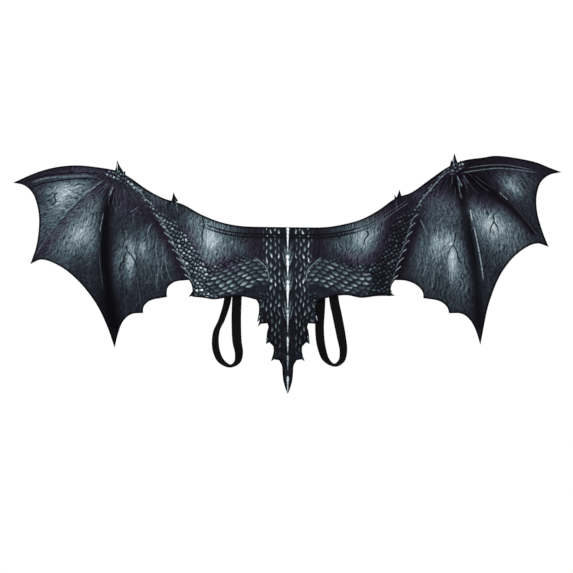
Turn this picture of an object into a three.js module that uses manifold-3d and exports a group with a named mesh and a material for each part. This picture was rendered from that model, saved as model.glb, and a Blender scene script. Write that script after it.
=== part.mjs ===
// Dragon wings: a costume piece that is worn on the back. It is cut from one sheet of printed felt, with a
// turned-over hem along the neckline and a loop of flat elastic for each arm.
// Millimetres, +Z up. The printed face looks along -Y and the loops hang behind it, on the wearer's side.
// The origin is at the nape, in the middle of the sheet's thickness at the centre of the neckline.
import * as THREE from "three";
import { mergeVertices } from "three/addons/utils/BufferGeometryUtils.js";
import Module from "manifold-3d";

// Driving dimensions of the sheet
const HALF_SPAN = 710; // spine to wing tip
const WING_DROP = 314; // nape down to the lowest finger tip
const TAIL_LENGTH = 244; // waist down to the tail's point
const SHEET_THICK = 2;
const EDGE_STEP = 13; // length of one straight piece of a curved edge

// Claws along the leading edge and spurs at the elbows
const WRIST_CLAW = 28.5;
const THUMB_CLAW = 21;
const ELBOW_SPUR = 14;

// Hem along the neckline
const HEM_DEPTH = 30;
const HEM_THICK = 1.4;
const HEM_SHARE = 0.324; // of the half span, out from the spine
const HEM_INSET = 1.5; // the hem's fold stays inside the cut edge

// Arm loops of flat elastic
const STRAP_WIDTH = 25;
const STRAP_THICK = 1.6;
const LEG_GAP = 6; // between the two sewn ends of one loop
const LOOP_REACH = 361; // nape down to the bottom of a loop
const LEFT_LOOP_OUT = 142.5; // spine to the middle of the left loop's sewn ends
const RIGHT_LOOP_OUT = 102.5;
const STRAP_STEP = 9;

// Gap that touching pieces keep
const CLEARANCE = 0.3;

// Relief of the hanging sheet
const BILLOW = 9; // how far the skin between two fingers hangs back
const BILLOW_REACH = 46; // distance from a finger over which it does
const SWEEP_BACK = 20; // how far the wing tips lie behind the flat back panel
const FOLD_DEPTH = 4;
const FOLD_PITCH = 205;
const PANEL_BLEND = 150; // width over which the flat panel passes into the wing
const RELIEF_STEP = 24;

// Edge of each wing as runs that meet in corners, walked from the nape out to the tip and back to the tail.
// Every bend is [out, up] as shares of HALF_SPAN and WING_DROP, and the last bend of a run is its corner.
const LEFT_EDGE = [
  { run: "neckline", bends: [[0.094, 0.003], [0.174, 0.011], [0.247, 0.044], [0.316, 0.106], [0.382, 0.188],
    [0.455, 0.241], [0.513, 0.311], [0.578, 0.414], [0.62, 0.466]] },
  { run: "leading", bends: [[0.67, 0.487], [0.764, 0.51], [0.83, 0.501], [0.884, 0.475], [0.932, 0.438],
    [1.002, 0.367]] },
  { run: "tip_scallop", bends: [[0.961, 0.345], [0.931, 0.282], [0.913, 0.171], [0.907, 0.049],
    [0.917, -0.155], [0.939, -0.305]] },
  { run: "wide_scallop", bends: [[0.899, -0.267], [0.83, -0.323], [0.764, -0.443], [0.699, -0.63],
    [0.659, -0.814], [0.631, -0.994]] },
  { run: "third_scallop", bends: [[0.618, -0.872], [0.6, -0.774], [0.571, -0.718], [0.527, -0.707]] },
  { run: "fourth_scallop", bends: [[0.525, -0.656], [0.504, -0.608], [0.44, -0.575]] },
  { run: "inner_scallop", bends: [[0.439, -0.506], [0.414, -0.453], [0.36, -0.435]] },
  { run: "elbow", bends: [[0.349, -0.486], [0.347, -0.574]] },
  { run: "arm", bends: [[0.309, -0.582], [0.269, -0.595], [0.218, -0.58], [0.163, -0.573], [0.115, -0.598]] },
];
const RIGHT_EDGE = [
  { run: "neckline", bends: [[0.077, -0.002], [0.143, 0.002], [0.209, 0.027], [0.267, 0.064], [0.329, 0.138],
    [0.394, 0.241], [0.449, 0.285], [0.515, 0.389], [0.577, 0.488], [0.613, 0.529]] },
  { run: "leading", bends: [[0.649, 0.555], [0.711, 0.574], [0.755, 0.589], [0.832, 0.571], [0.908, 0.534],
    [0.952, 0.494], [0.999, 0.454]] },
  { run: "tip_scallop", bends: [[0.954, 0.431], [0.923, 0.371], [0.908, 0.257], [0.91, 0.125],
    [0.93, -0.04], [0.952, -0.163]] },
  { run: "wide_scallop", bends: [[0.908, -0.134], [0.843, -0.208], [0.781, -0.372], [0.734, -0.625],
    [0.713, -0.839], [0.702, -0.971]] },
  { run: "third_scallop", bends: [[0.686, -0.855], [0.664, -0.763], [0.635, -0.714], [0.588, -0.709]] },
  { run: "fourth_scallop", bends: [[0.581, -0.659], [0.555, -0.611], [0.494, -0.585]] },
  { run: "inner_scallop", bends: [[0.491, -0.531], [0.465, -0.471], [0.427, -0.44], [0.39, -0.437]] },
  { run: "elbow", bends: [[0.378, -0.481], [0.373, -0.567]] },
  { run: "arm", bends: [[0.325, -0.568], [0.267, -0.582], [0.216, -0.561], [0.169, -0.57], [0.116, -0.598]] },
];

// One flank of the tail from the waist to its point: out as a share of the waist's half width, down as a
// share of TAIL_LENGTH. Each tier of plates flares to a barb and steps in at a notch.
const TAIL_FLANK = [
  { at: "waist", out: 0.93, down: 0.04 },
  { at: "flank", out: 0.914, down: 0.119 },
  { at: "small_barb", out: 0.971, down: 0.234 },
  { at: "notch", out: 0.889, down: 0.218 },
  { at: "barb", out: 0.955, down: 0.288 },
  { at: "notch", out: 0.851, down: 0.255 },
  { at: "shelf", out: 0.648, down: 0.25 },
  { at: "flank", out: 0.61, down: 0.288 },
  { at: "flank", out: 0.655, down: 0.341 },
  { at: "barb", out: 0.69, down: 0.47 },
  { at: "notch", out: 0.581, down: 0.451 },
  { at: "shelf", out: 0.457, down: 0.494 },
  { at: "flank", out: 0.448, down: 0.545 },
  { at: "barb", out: 0.53, down: 0.653 },
  { at: "notch", out: 0.435, down: 0.632 },
  { at: "shelf", out: 0.273, down: 0.642 },
  { at: "flank", out: 0.187, down: 0.7 },
  { at: "flank", out: 0.165, down: 0.786 },
  { at: "flank", out: 0.143, down: 0.855 },
  { at: "flank", out: 0.078, down: 0.935 },
];

// Claws and spurs that stand out of the cut edge. Side is -1 for the left wing. Root centre as shares of
// HALF_SPAN and WING_DROP, reach and root width as shares of the named length, aim in degrees from +X.
const CLAWS = [
  { claw: "left_wrist", side: -1, out: 0.616, up: 0.458, length: WRIST_CLAW, reach: 1.06, root: 0.8, aim: 98 },
  { claw: "left_knuckle", side: -1, out: 0.598, up: 0.44, length: WRIST_CLAW, reach: 0.32, root: 0.4, aim: 60 },
  { claw: "left_thumb", side: -1, out: 0.413, up: 0.222, length: THUMB_CLAW, reach: 1.03, root: 0.8, aim: 98 },
  { claw: "right_wrist", side: 1, out: 0.608, up: 0.515, length: WRIST_CLAW, reach: 1.08, root: 0.74, aim: 90 },
  { claw: "right_side", side: 1, out: 0.596, up: 0.5, length: WRIST_CLAW, reach: 0.7, root: 0.33, aim: 91 },
  { claw: "right_knuckle", side: 1, out: 0.629, up: 0.527, length: WRIST_CLAW, reach: 0.27, root: 0.36, aim: 84 },
  { claw: "right_thumb", side: 1, out: 0.407, up: 0.238, length: THUMB_CLAW, reach: 1.12, root: 0.86, aim: 90 },
  { claw: "right_barb", side: 1, out: 0.394, up: 0.232, length: THUMB_CLAW, reach: 0.62, root: 0.4, aim: 108 },
  { claw: "left_elbow", side: -1, out: 0.345, up: -0.55, length: ELBOW_SPUR, reach: 1, root: 0.9, aim: -148 },
  { claw: "right_elbow", side: 1, out: 0.371, up: -0.522, length: ELBOW_SPUR, reach: 0.66, root: 0.7, aim: -35 },
  { claw: "right_heel", side: 1, out: 0.372, up: -0.552, length: ELBOW_SPUR, reach: 1.05, root: 0.8, aim: -16 },
];

// Route of each arm loop from the end sewn further out, round the bottom, to the end nearer the spine. Out is
// a share of the pitch of the two ends, down of LOOP_REACH, back of STRAP_WIDTH behind the hem. Turn is the
// angle in degrees of the strap's width from facing front.
const LEFT_LOOP = [
  { out: 0.5, down: 0.016, back: 0, turn: 0 },
  { out: 0.5, down: 0.092, back: 0, turn: 0 },
  { out: 0.46, down: 0.34, back: 0.24, turn: 12 },
  { out: 0.41, down: 0.507, back: 0.42, turn: 42 },
  { out: 0.88, down: 0.654, back: 0.46, turn: 48 },
  { out: 1.37, down: 0.751, back: 0.48, turn: 50 },
  { out: 1.41, down: 0.869, back: 0.5, turn: 50 },
  { out: 1.0, down: 0.955, back: 0.52, turn: 60 },
  { out: 0.2, down: 1, back: 0.52, turn: 86 },
  { out: -0.36, down: 0.973, back: 0.48, turn: 60 },
  { out: -0.54, down: 0.905, back: 0.4, turn: 38 },
  { out: -0.36, down: 0.816, back: 0.32, turn: 14 },
  { out: -0.3, down: 0.651, back: 0.22, turn: 3 },
  { out: -0.36, down: 0.493, back: 0.14, turn: 0 },
  { out: -0.5, down: 0.092, back: 0, turn: 0 },
  { out: -0.5, down: 0.016, back: 0, turn: 0 },
];
const RIGHT_LOOP = [
  { out: 0.5, down: 0.016, back: 0, turn: 0 },
  { out: 0.5, down: 0.092, back: 0, turn: 0 },
  { out: 0.53, down: 0.5, back: 0.14, turn: 0 },
  { out: 0.83, down: 0.636, back: 0.22, turn: 0 },
  { out: 1.14, down: 0.773, back: 0.34, turn: 17 },
  { out: 1.34, down: 0.887, back: 0.44, turn: 40 },
  { out: 1.17, down: 0.957, back: 0.5, turn: 60 },
  { out: 0.6, down: 0.989, back: 0.54, turn: 74 },
  { out: -0.1, down: 0.948, back: 0.5, turn: 52 },
  { out: -0.48, down: 0.855, back: 0.42, turn: 36 },
  { out: -0.59, down: 0.73, back: 0.36, turn: 30 },
  { out: -0.48, down: 0.586, back: 0.32, turn: 29 },
  { out: -0.42, down: 0.493, back: 0.28, turn: 26 },
  { out: -0.44, down: 0.343, back: 0.18, turn: 12 },
  { out: -0.5, down: 0.092, back: 0, turn: 0 },
  { out: -0.5, down: 0.016, back: 0, turn: 0 },
];

// Places that follow from the sizes above
const legPitch = STRAP_WIDTH + LEG_GAP;
const strapSeat = SHEET_THICK / 2 + CLEARANCE + HEM_THICK + CLEARANCE + STRAP_THICK / 2;
const panelHalf = Math.max(LEFT_LOOP_OUT, RIGHT_LOOP_OUT) + legPitch / 2 + STRAP_WIDTH / 2 + LEG_GAP;
const reliefRoom = 2 * (SWEEP_BACK + BILLOW + FOLD_DEPTH) + SHEET_THICK + HEM_THICK;

const wasm = await Module();
wasm.setup();

// A three.js geometry as a solid that can be joined and cut
function solidOf(geometry) {
  const bare = geometry.clone();
  bare.deleteAttribute("normal");
  bare.deleteAttribute("uv");
  const merged = mergeVertices(bare, 1e-4);
  const vertProperties = new Float32Array(merged.attributes.position.array);
  const triVerts = new Uint32Array(merged.index.array);
  return new wasm.Manifold(new wasm.Mesh({ numProp: 3, vertProperties, triVerts }));
}

// A joined or cut solid as a three.js geometry
function geometryOf(solid) {
  const mesh = solid.getMesh();
  const geometry = new THREE.BufferGeometry();
  geometry.setAttribute("position", new THREE.BufferAttribute(new Float32Array(mesh.vertProperties), 3));
  geometry.setIndex(new THREE.BufferAttribute(new Uint32Array(mesh.triVerts), 1));
  geometry.computeVertexNormals();
  return geometry;
}

// A closed outline in the XZ plane as a prism that reaches through the sheet's whole relief
function prismOf(points) {
  const geometry = new THREE.ExtrudeGeometry(new THREE.Shape(points), { depth: 2 * reliefRoom, bevelEnabled: false });
  return solidOf(geometry.rotateX(Math.PI / 2).translate(0, reliefRoom, 0));
}

const place = (side, [out, up]) => new THREE.Vector2(side * out * HALF_SPAN, up * WING_DROP);

// A smooth run through its bends, in straight pieces of about EDGE_STEP, without its first point
function smoothRun(start, bends) {
  const knots = [start, ...bends].map((p) => new THREE.Vector3(p.x, p.y, 0));
  const curve = new THREE.CatmullRomCurve3(knots, false, "centripetal");
  const pieces = Math.max(2, Math.round(curve.getLength() / EDGE_STEP));
  return curve.getSpacedPoints(pieces).slice(1).map((p) => new THREE.Vector2(p.x, p.y));
}

// All runs of one wing, walked from the nape: a list of { run, points, corner }
function wingRuns(side, edge) {
  let start = new THREE.Vector2(0, 0);
  return edge.map(({ run, bends }) => {
    const ends = bends.map((bend) => place(side, bend));
    const points = smoothRun(start, ends);
    start = ends[ends.length - 1];
    return { run, points, corner: start };
  });
}

const leftRuns = wingRuns(-1, LEFT_EDGE);
const rightRuns = wingRuns(1, RIGHT_EDGE);
const cornerOf = (runs, name) => runs.find(({ run }) => run === name).corner;

// One flank of the tail, from the waist down
function tailFlank(side, waist) {
  return TAIL_FLANK.map(({ out, down }) => new THREE.Vector2(
    side * out * Math.abs(waist.x), waist.y - down * TAIL_LENGTH));
}

// The cut edge of the sheet without its claws: out along the left wing, round the tail, back by the right
function sheetOutline() {
  const leftWaist = cornerOf(leftRuns, "arm");
  const rightWaist = cornerOf(rightRuns, "arm");
  const tailPoint = new THREE.Vector2(0, (leftWaist.y + rightWaist.y) / 2 - TAIL_LENGTH);
  const left = [...leftRuns.flatMap(({ points }) => points), ...tailFlank(-1, leftWaist)];
  const right = [...rightRuns.flatMap(({ points }) => points), ...tailFlank(1, rightWaist)];
  return [new THREE.Vector2(0, 0), ...left, tailPoint, ...right.reverse()];
}

// A claw: a horn shape with a wide root that sits inside the sheet, hollow flanks and a sharp point
function clawPrism({ side, out, up, length, reach, root, aim }) {
  const horn = new THREE.Shape();
  const half = (root * length) / 2;
  const point = reach * length;
  horn.moveTo(-half / 2, -half);
  horn.lineTo(0, -half);
  horn.quadraticCurveTo(0.3 * point, -0.5 * half, point, 0);
  horn.quadraticCurveTo(0.3 * point, 0.5 * half, 0, half);
  horn.lineTo(-half / 2, half);
  const at = place(side, [out, up]);
  const turn = THREE.MathUtils.degToRad(aim);
  return prismOf(horn.getPoints(4).map((p) => p.rotateAround(new THREE.Vector2(), turn).add(at)));
}

const distanceToLine = (p, a, b) =>
  new THREE.Line3(a, b).closestPointToPoint(p, true, new THREE.Vector3()).distanceTo(p);

// The stretched fingers of one wing: straight lines from the wrist to each corner of the scalloped edge
function fingersOf(runs) {
  const flat = (p) => new THREE.Vector3(p.x, 0, p.y);
  const wrist = flat(cornerOf(runs, "neckline"));
  const tips = runs.filter(({ run }) => run !== "neckline" && run !== "arm").map(({ corner }) => flat(corner));
  const shoulder = new THREE.Vector3(Math.sign(wrist.x) * panelHalf, 0, cornerOf(runs, "arm").y);
  return [...tips.map((tip) => [wrist, tip]), [tips[tips.length - 1], shoulder]];
}

const fingers = { "-1": fingersOf(leftRuns), 1: fingersOf(rightRuns) };

// Depth of the sheet's middle surface behind the flat back panel
function relief(x, z) {
  const side = x < 0 ? -1 : 1;
  const outward = Math.abs(x) - panelHalf;
  if (outward <= 0) return 0;
  const loose = THREE.MathUtils.smoothstep(outward, 0, PANEL_BLEND);
  const p = new THREE.Vector3(x, 0, z);
  const near = Math.min(...fingers[side].map(([a, b]) => distanceToLine(p, a, b)));
  const billow = BILLOW * (1 - Math.exp(-((near / BILLOW_REACH) ** 2)));
  const sweep = SWEEP_BACK * (outward / (HALF_SPAN - panelHalf)) ** 2;
  const low = THREE.MathUtils.smoothstep(-z / WING_DROP, -0.4, 1);
  const fold = FOLD_DEPTH * low * Math.sin((2 * Math.PI * outward) / FOLD_PITCH);
  return loose * (billow + fold) + sweep;
}

// A slab that follows the relief between two depths, wide enough for the whole outline
function reliefSlab(front, rear, outline) {
  const box = new THREE.Box2().setFromPoints(outline).expandByScalar(WRIST_CLAW + THUMB_CLAW);
  const size = box.getSize(new THREE.Vector2());
  const columns = Math.ceil(size.x / RELIEF_STEP);
  const rows = Math.ceil(size.y / RELIEF_STEP);
  const slab = new THREE.BoxGeometry(size.x, rear - front, size.y, columns, 1, rows);
  const centre = box.getCenter(new THREE.Vector2());
  slab.translate(centre.x, (front + rear) / 2, centre.y);
  const position = slab.attributes.position;
  for (let i = 0; i < position.count; i++) {
    position.setY(i, position.getY(i) + relief(position.getX(i), position.getZ(i)));
  }
  return solidOf(slab);
}

function wingSheet() {
  const outline = sheetOutline();
  const cut = CLAWS.reduce((joined, claw) => joined.add(clawPrism(claw)), prismOf(outline));
  return geometryOf(reliefSlab(-SHEET_THICK / 2, SHEET_THICK / 2, outline).intersect(cut));
}

// The hem: a strip behind the neckline, from just inside the cut edge to HEM_DEPTH below it
function topHem() {
  const end = HEM_SHARE * HALF_SPAN;
  const neckline = [
    ...leftRuns[0].points.slice().reverse(), new THREE.Vector2(0, 0), ...rightRuns[0].points,
  ].filter((p) => Math.abs(p.x) < end);
  const below = (depth) => neckline.map((p, i) => {
    const before = neckline[Math.max(0, i - 1)];
    const after = neckline[Math.min(neckline.length - 1, i + 1)];
    const along = after.clone().sub(before).normalize();
    return new THREE.Vector2(p.x + along.y * depth, p.y - along.x * depth);
  });
  const band = [...below(HEM_INSET), ...below(HEM_DEPTH).reverse()];
  const front = SHEET_THICK / 2 + CLEARANCE;
  return geometryOf(reliefSlab(front, front + HEM_THICK, band).intersect(prismOf(band)));
}

// One arm loop: a flat strap swept along its route, turning about its own length
function armLoop(side, middle, route) {
  const knots = route.map(({ out, down, back }) => new THREE.Vector3(
    side * (middle + out * legPitch), strapSeat + back * STRAP_WIDTH, -down * LOOP_REACH));
  const curve = new THREE.CatmullRomCurve3(knots, false, "centripetal");
  const turns = new THREE.CatmullRomCurve3(route.map(({ turn }) => new THREE.Vector3(turn, 0, 0)));
  const steps = Math.round(curve.getLength() / STRAP_STEP);
  const corners = [[-1, -1], [1, -1], [1, 1], [-1, 1]];
  const positions = [];
  for (let i = 0; i <= steps; i++) {
    const t = curve.getUtoTmapping(i / steps);
    const centre = curve.getPoint(t);
    const along = curve.getTangent(t);
    const turn = THREE.MathUtils.degToRad(turns.getPoint(t).x);
    const across = new THREE.Vector3(Math.cos(turn), Math.sin(turn), 0);
    across.addScaledVector(along, -across.dot(along)).normalize();
    const face = new THREE.Vector3().crossVectors(along, across);
    for (const [u, v] of corners) {
      const corner = centre.clone().addScaledVector(across, (u * STRAP_WIDTH) / 2);
      positions.push(...corner.addScaledVector(face, (v * STRAP_THICK) / 2).toArray());
    }
  }
  const index = [0, 2, 1, 0, 3, 2];
  for (let i = 0; i < steps; i++) {
    for (let k = 0; k < corners.length; k++) {
      const a = i * corners.length + k;
      const b = i * corners.length + ((k + 1) % corners.length);
      index.push(a, b, b + corners.length, a, b + corners.length, a + corners.length);
    }
  }
  const last = steps * corners.length;
  index.push(last, last + 1, last + 2, last, last + 2, last + 3);
  const strap = new THREE.BufferGeometry();
  strap.setAttribute("position", new THREE.Float32BufferAttribute(positions, 3));
  strap.setIndex(index);
  strap.computeVertexNormals();
  return strap;
}

const printedFelt = new THREE.MeshStandardMaterial({ color: 0x2e363b, roughness: 0.85, metalness: 0 });
const plainFelt = new THREE.MeshStandardMaterial({ color: 0x17181b, roughness: 0.95, metalness: 0 });
const elastic = new THREE.MeshStandardMaterial({ color: 0x1a1a1a, roughness: 0.8, metalness: 0 });

function piece(name, geometry, material) {
  const mesh = new THREE.Mesh(geometry, material);
  mesh.name = name;
  return mesh;
}

const dragonWings = new THREE.Group();
dragonWings.add(piece("wing_sheet", wingSheet(), printedFelt));
dragonWings.add(piece("top_hem", topHem(), plainFelt));
dragonWings.add(piece("left_strap", armLoop(-1, LEFT_LOOP_OUT, LEFT_LOOP), elastic));
dragonWings.add(piece("right_strap", armLoop(1, RIGHT_LOOP_OUT, RIGHT_LOOP), elastic));

export default dragonWings;
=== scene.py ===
"""Dragon wings, a costume piece worn on the back: one sheet of printed felt with a turned-over hem along
the neckline, two rows of stitches and a loop of flat elastic for each arm."""
import logging
import math
from collections.abc import Mapping, Sequence
from dataclasses import dataclass, field
from enum import Enum
from typing import Any

import bpy
import numpy as np
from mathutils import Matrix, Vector
from mathutils.geometry import delaunay_2d_cdt
from mathutils.kdtree import KDTree


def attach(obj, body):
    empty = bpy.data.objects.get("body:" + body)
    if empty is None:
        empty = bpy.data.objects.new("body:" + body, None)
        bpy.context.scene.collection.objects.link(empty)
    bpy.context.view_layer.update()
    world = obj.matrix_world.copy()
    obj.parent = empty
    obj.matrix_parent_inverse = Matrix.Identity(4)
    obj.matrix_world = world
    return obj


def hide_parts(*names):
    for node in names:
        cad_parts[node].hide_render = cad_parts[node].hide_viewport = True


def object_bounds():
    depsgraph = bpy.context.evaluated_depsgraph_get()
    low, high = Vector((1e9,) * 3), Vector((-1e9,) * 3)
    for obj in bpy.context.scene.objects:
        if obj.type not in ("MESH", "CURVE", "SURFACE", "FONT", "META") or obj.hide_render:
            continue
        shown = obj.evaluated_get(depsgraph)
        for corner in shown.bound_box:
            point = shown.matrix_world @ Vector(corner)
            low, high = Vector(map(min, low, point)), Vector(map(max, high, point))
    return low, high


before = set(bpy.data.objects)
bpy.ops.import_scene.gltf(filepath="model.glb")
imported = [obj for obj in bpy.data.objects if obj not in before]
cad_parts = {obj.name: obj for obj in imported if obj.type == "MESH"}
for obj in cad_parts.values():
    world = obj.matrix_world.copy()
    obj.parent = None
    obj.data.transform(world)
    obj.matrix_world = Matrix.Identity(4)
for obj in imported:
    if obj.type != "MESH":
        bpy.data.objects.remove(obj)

CAD_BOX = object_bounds()
LOG = logging.getLogger("dragon_wings")
MM = 0.001
Number = Any
Colour = tuple[float, float, float]
Spot = tuple[float, float]

# Where the print was drawn: its tables are in millimetres on a sheet of this half span and drop
DRAWN_HALF_SPAN = 711.5
DRAWN_DROP = 312.1

# Photograph's frame, in pixels and in millimetres for each pixel
PHOTO_SIDE = 573
PHOTO_SCALE = 2.587
PHOTO_NAPE = (287.75, 227.2)


class Side(Enum):
    """One of the two wings, by the sign of its X."""

    LEFT = -1
    RIGHT = 1


class Ends(Enum):
    """How a drawn line stops."""

    FADED = "faded"
    POINTED = "pointed"
    SPINDLE = "spindle"


def smooth(value: np.ndarray, low: float, high: float) -> np.ndarray:
    """A soft step from 0 at low to 1 at high.

    Args:
        value: Numbers to step.
        low: Where the step starts.
        high: Where it ends.

    Returns:
        Numbers from 0 to 1.
    """
    share = np.clip((value - low) / (high - low), 0, 1)
    return share * share * (3 - 2 * share)


def curve_through(knots: Sequence[Sequence[float]], step: float) -> np.ndarray:
    """A centripetal curve through its knots.

    Args:
        knots: Points of two or three numbers.
        step: Longest piece between two points of the result.

    Returns:
        Points along the curve, with every knot among them.
    """
    ends = np.asarray(knots, float)
    padded = np.vstack((2 * ends[0] - ends[1], ends, 2 * ends[-1] - ends[-2]))
    made = [ends[:1]]
    for before, start, end, after in zip(padded, padded[1:], padded[2:], padded[3:]):
        gaps = [max(np.linalg.norm(b - a), 1e-6) ** 0.5 for a, b in
                ((before, start), (start, end), (end, after))]
        leave = (start - before) / gaps[0] - (end - before) / (gaps[0] + gaps[1]) + (end - start) / gaps[1]
        arrive = (end - start) / gaps[1] - (after - start) / (gaps[1] + gaps[2]) + (after - end) / gaps[2]
        leave, arrive = leave * gaps[1], arrive * gaps[1]
        pieces = max(1, math.ceil(np.linalg.norm(end - start) / step))
        t = (np.arange(1, pieces + 1) / pieces)[:, None]
        made.append(start + leave * t + (3 * (end - start) - 2 * leave - arrive) * t**2
                    + (2 * (start - end) + leave + arrive) * t**3)
    return np.vstack(made)


@dataclass
class Nearness:
    """Where a path passes each of many points."""

    gap: np.ndarray
    along: np.ndarray


def nearness(path: np.ndarray, spots: np.ndarray) -> Nearness:
    """Measures many points against one path.

    Args:
        path: Points of the path in the plane of the sheet.
        spots: Points to measure.

    Returns:
        Distance, and share of the path's length.
    """
    lengths = np.linalg.norm(np.diff(path, axis=0), axis=1)
    starts = np.concatenate(([0], np.cumsum(lengths)))
    found = Nearness(np.full(len(spots), 1e9), np.zeros(len(spots)))
    for a, b, length, start in zip(path, path[1:], lengths, starts):
        run = (b - a) / max(length, 1e-9)
        offset = spots - a
        reach = np.clip(offset @ run, 0, length)
        gap = np.hypot(offset[:, 0] - run[0] * reach, offset[:, 1] - run[1] * reach)
        nearer = gap < found.gap
        found.gap[nearer] = gap[nearer]
        found.along[nearer] = (start + reach[nearer]) / starts[-1]
    return found


def inside(loop: np.ndarray, spots: np.ndarray) -> np.ndarray:
    """Tells which points lie inside a closed outline.

    Args:
        loop: Corners of the outline.
        spots: Points to test.

    Returns:
        True for each point inside.
    """
    found = np.zeros(len(spots), bool)
    for (x1, z1), (x2, z2) in zip(loop, np.roll(loop, -1, 0)):
        if z1 == z2:
            continue
        crosses = (z1 > spots[:, 1]) != (z2 > spots[:, 1])
        found ^= crosses & (spots[:, 0] < (x2 - x1) * (spots[:, 1] - z1) / (z2 - z1) + x1)
    return found


def near_any(dots: np.ndarray, spots: np.ndarray) -> tuple[np.ndarray, np.ndarray]:
    """Finds the nearest of many dots to each point.

    Args:
        dots: Points to search.
        spots: Points to search from.

    Returns:
        The distance to the nearest dot, and its number.
    """
    tree = KDTree(len(dots))
    for number, (x, z) in enumerate(dots):
        tree.insert((x, z, 0), number)
    tree.balance()
    hits = [tree.find((x, z, 0)) for x, z in spots]
    return np.array([hit[2] for hit in hits]), np.array([hit[1] for hit in hits])


def placed(name: str, data: bpy.types.ID) -> bpy.types.Object:
    """Puts a mesh, camera or lamp into the scene as an object."""
    made = bpy.data.objects.new(name, data)
    bpy.context.scene.collection.objects.link(made)
    return made


def srgb(red: int, green: int, blue: int) -> tuple[float, float, float, float]:
    """A colour of 0 to 255 a channel as the shader's linear one."""
    channels = [c / 255 for c in (red, green, blue)]
    return (*[c / 12.92 if c <= 0.04045 else ((c + 0.055) / 1.055) ** 2.4 for c in channels], 1.0)


class Value:
    """A number socket, so that shader maths reads as Python expressions."""

    def __init__(self, bench: "Bench", socket: bpy.types.NodeSocket) -> None:
        """Keeps the socket and the bench that it belongs to."""
        self.bench = bench
        self.socket = socket

    def __add__(self, other: Number) -> "Value":
        """This number and another, added."""
        return self.bench.math("ADD", self, other)

    def __radd__(self, other: Number) -> "Value":
        """Another number and this one, added."""
        return self.bench.math("ADD", other, self)

    def __sub__(self, other: Number) -> "Value":
        """This number less another."""
        return self.bench.math("SUBTRACT", self, other)

    def __rsub__(self, other: Number) -> "Value":
        """Another number less this one."""
        return self.bench.math("SUBTRACT", other, self)

    def __mul__(self, other: Number) -> "Value":
        """This number times another."""
        return self.bench.math("MULTIPLY", self, other)

    def __rmul__(self, other: Number) -> "Value":
        """Another number times this one."""
        return self.bench.math("MULTIPLY", other, self)

    def __truediv__(self, other: Number) -> "Value":
        """This number divided by another."""
        return self.bench.math("DIVIDE", self, other)

    def __abs__(self) -> "Value":
        """This number without its sign."""
        return self.bench.math("ABSOLUTE", self)

    def floor(self) -> "Value":
        """The whole number below."""
        return self.bench.math("FLOOR", self)

    def fraction(self) -> "Value":
        """What is left above the whole number below."""
        return self.bench.math("FRACT", self)

    def most(self, other: Number) -> "Value":
        """The larger of two numbers."""
        return self.bench.math("MAXIMUM", self, other)

    def least(self, other: Number) -> "Value":
        """The smaller of two numbers."""
        return self.bench.math("MINIMUM", self, other)

    def sine(self) -> "Value":
        """The sine of an angle in radians."""
        return self.bench.math("SINE", self)

    def toward(self, other: Number, share: Number) -> "Value":
        """This number moved to the other by a share of the way."""
        return self + (other - self) * share

    def step(self, low: float, high: float) -> "Value":
        """A soft step from 0 at low to 1 at high.

        Args:
            low: Where the step starts.
            high: Where it ends, below low for a falling step.

        Returns:
            The stepped number.
        """
        flip = high < low
        inputs = {"Value": self, "From Min": min(low, high), "From Max": max(low, high),
                  "To Min": 1.0 if flip else 0.0, "To Max": 0.0 if flip else 1.0}
        node = self.bench.add("ShaderNodeMapRange", {"interpolation_type": "SMOOTHSTEP"}, inputs)
        return Value(self.bench, node.outputs["Result"])


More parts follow.
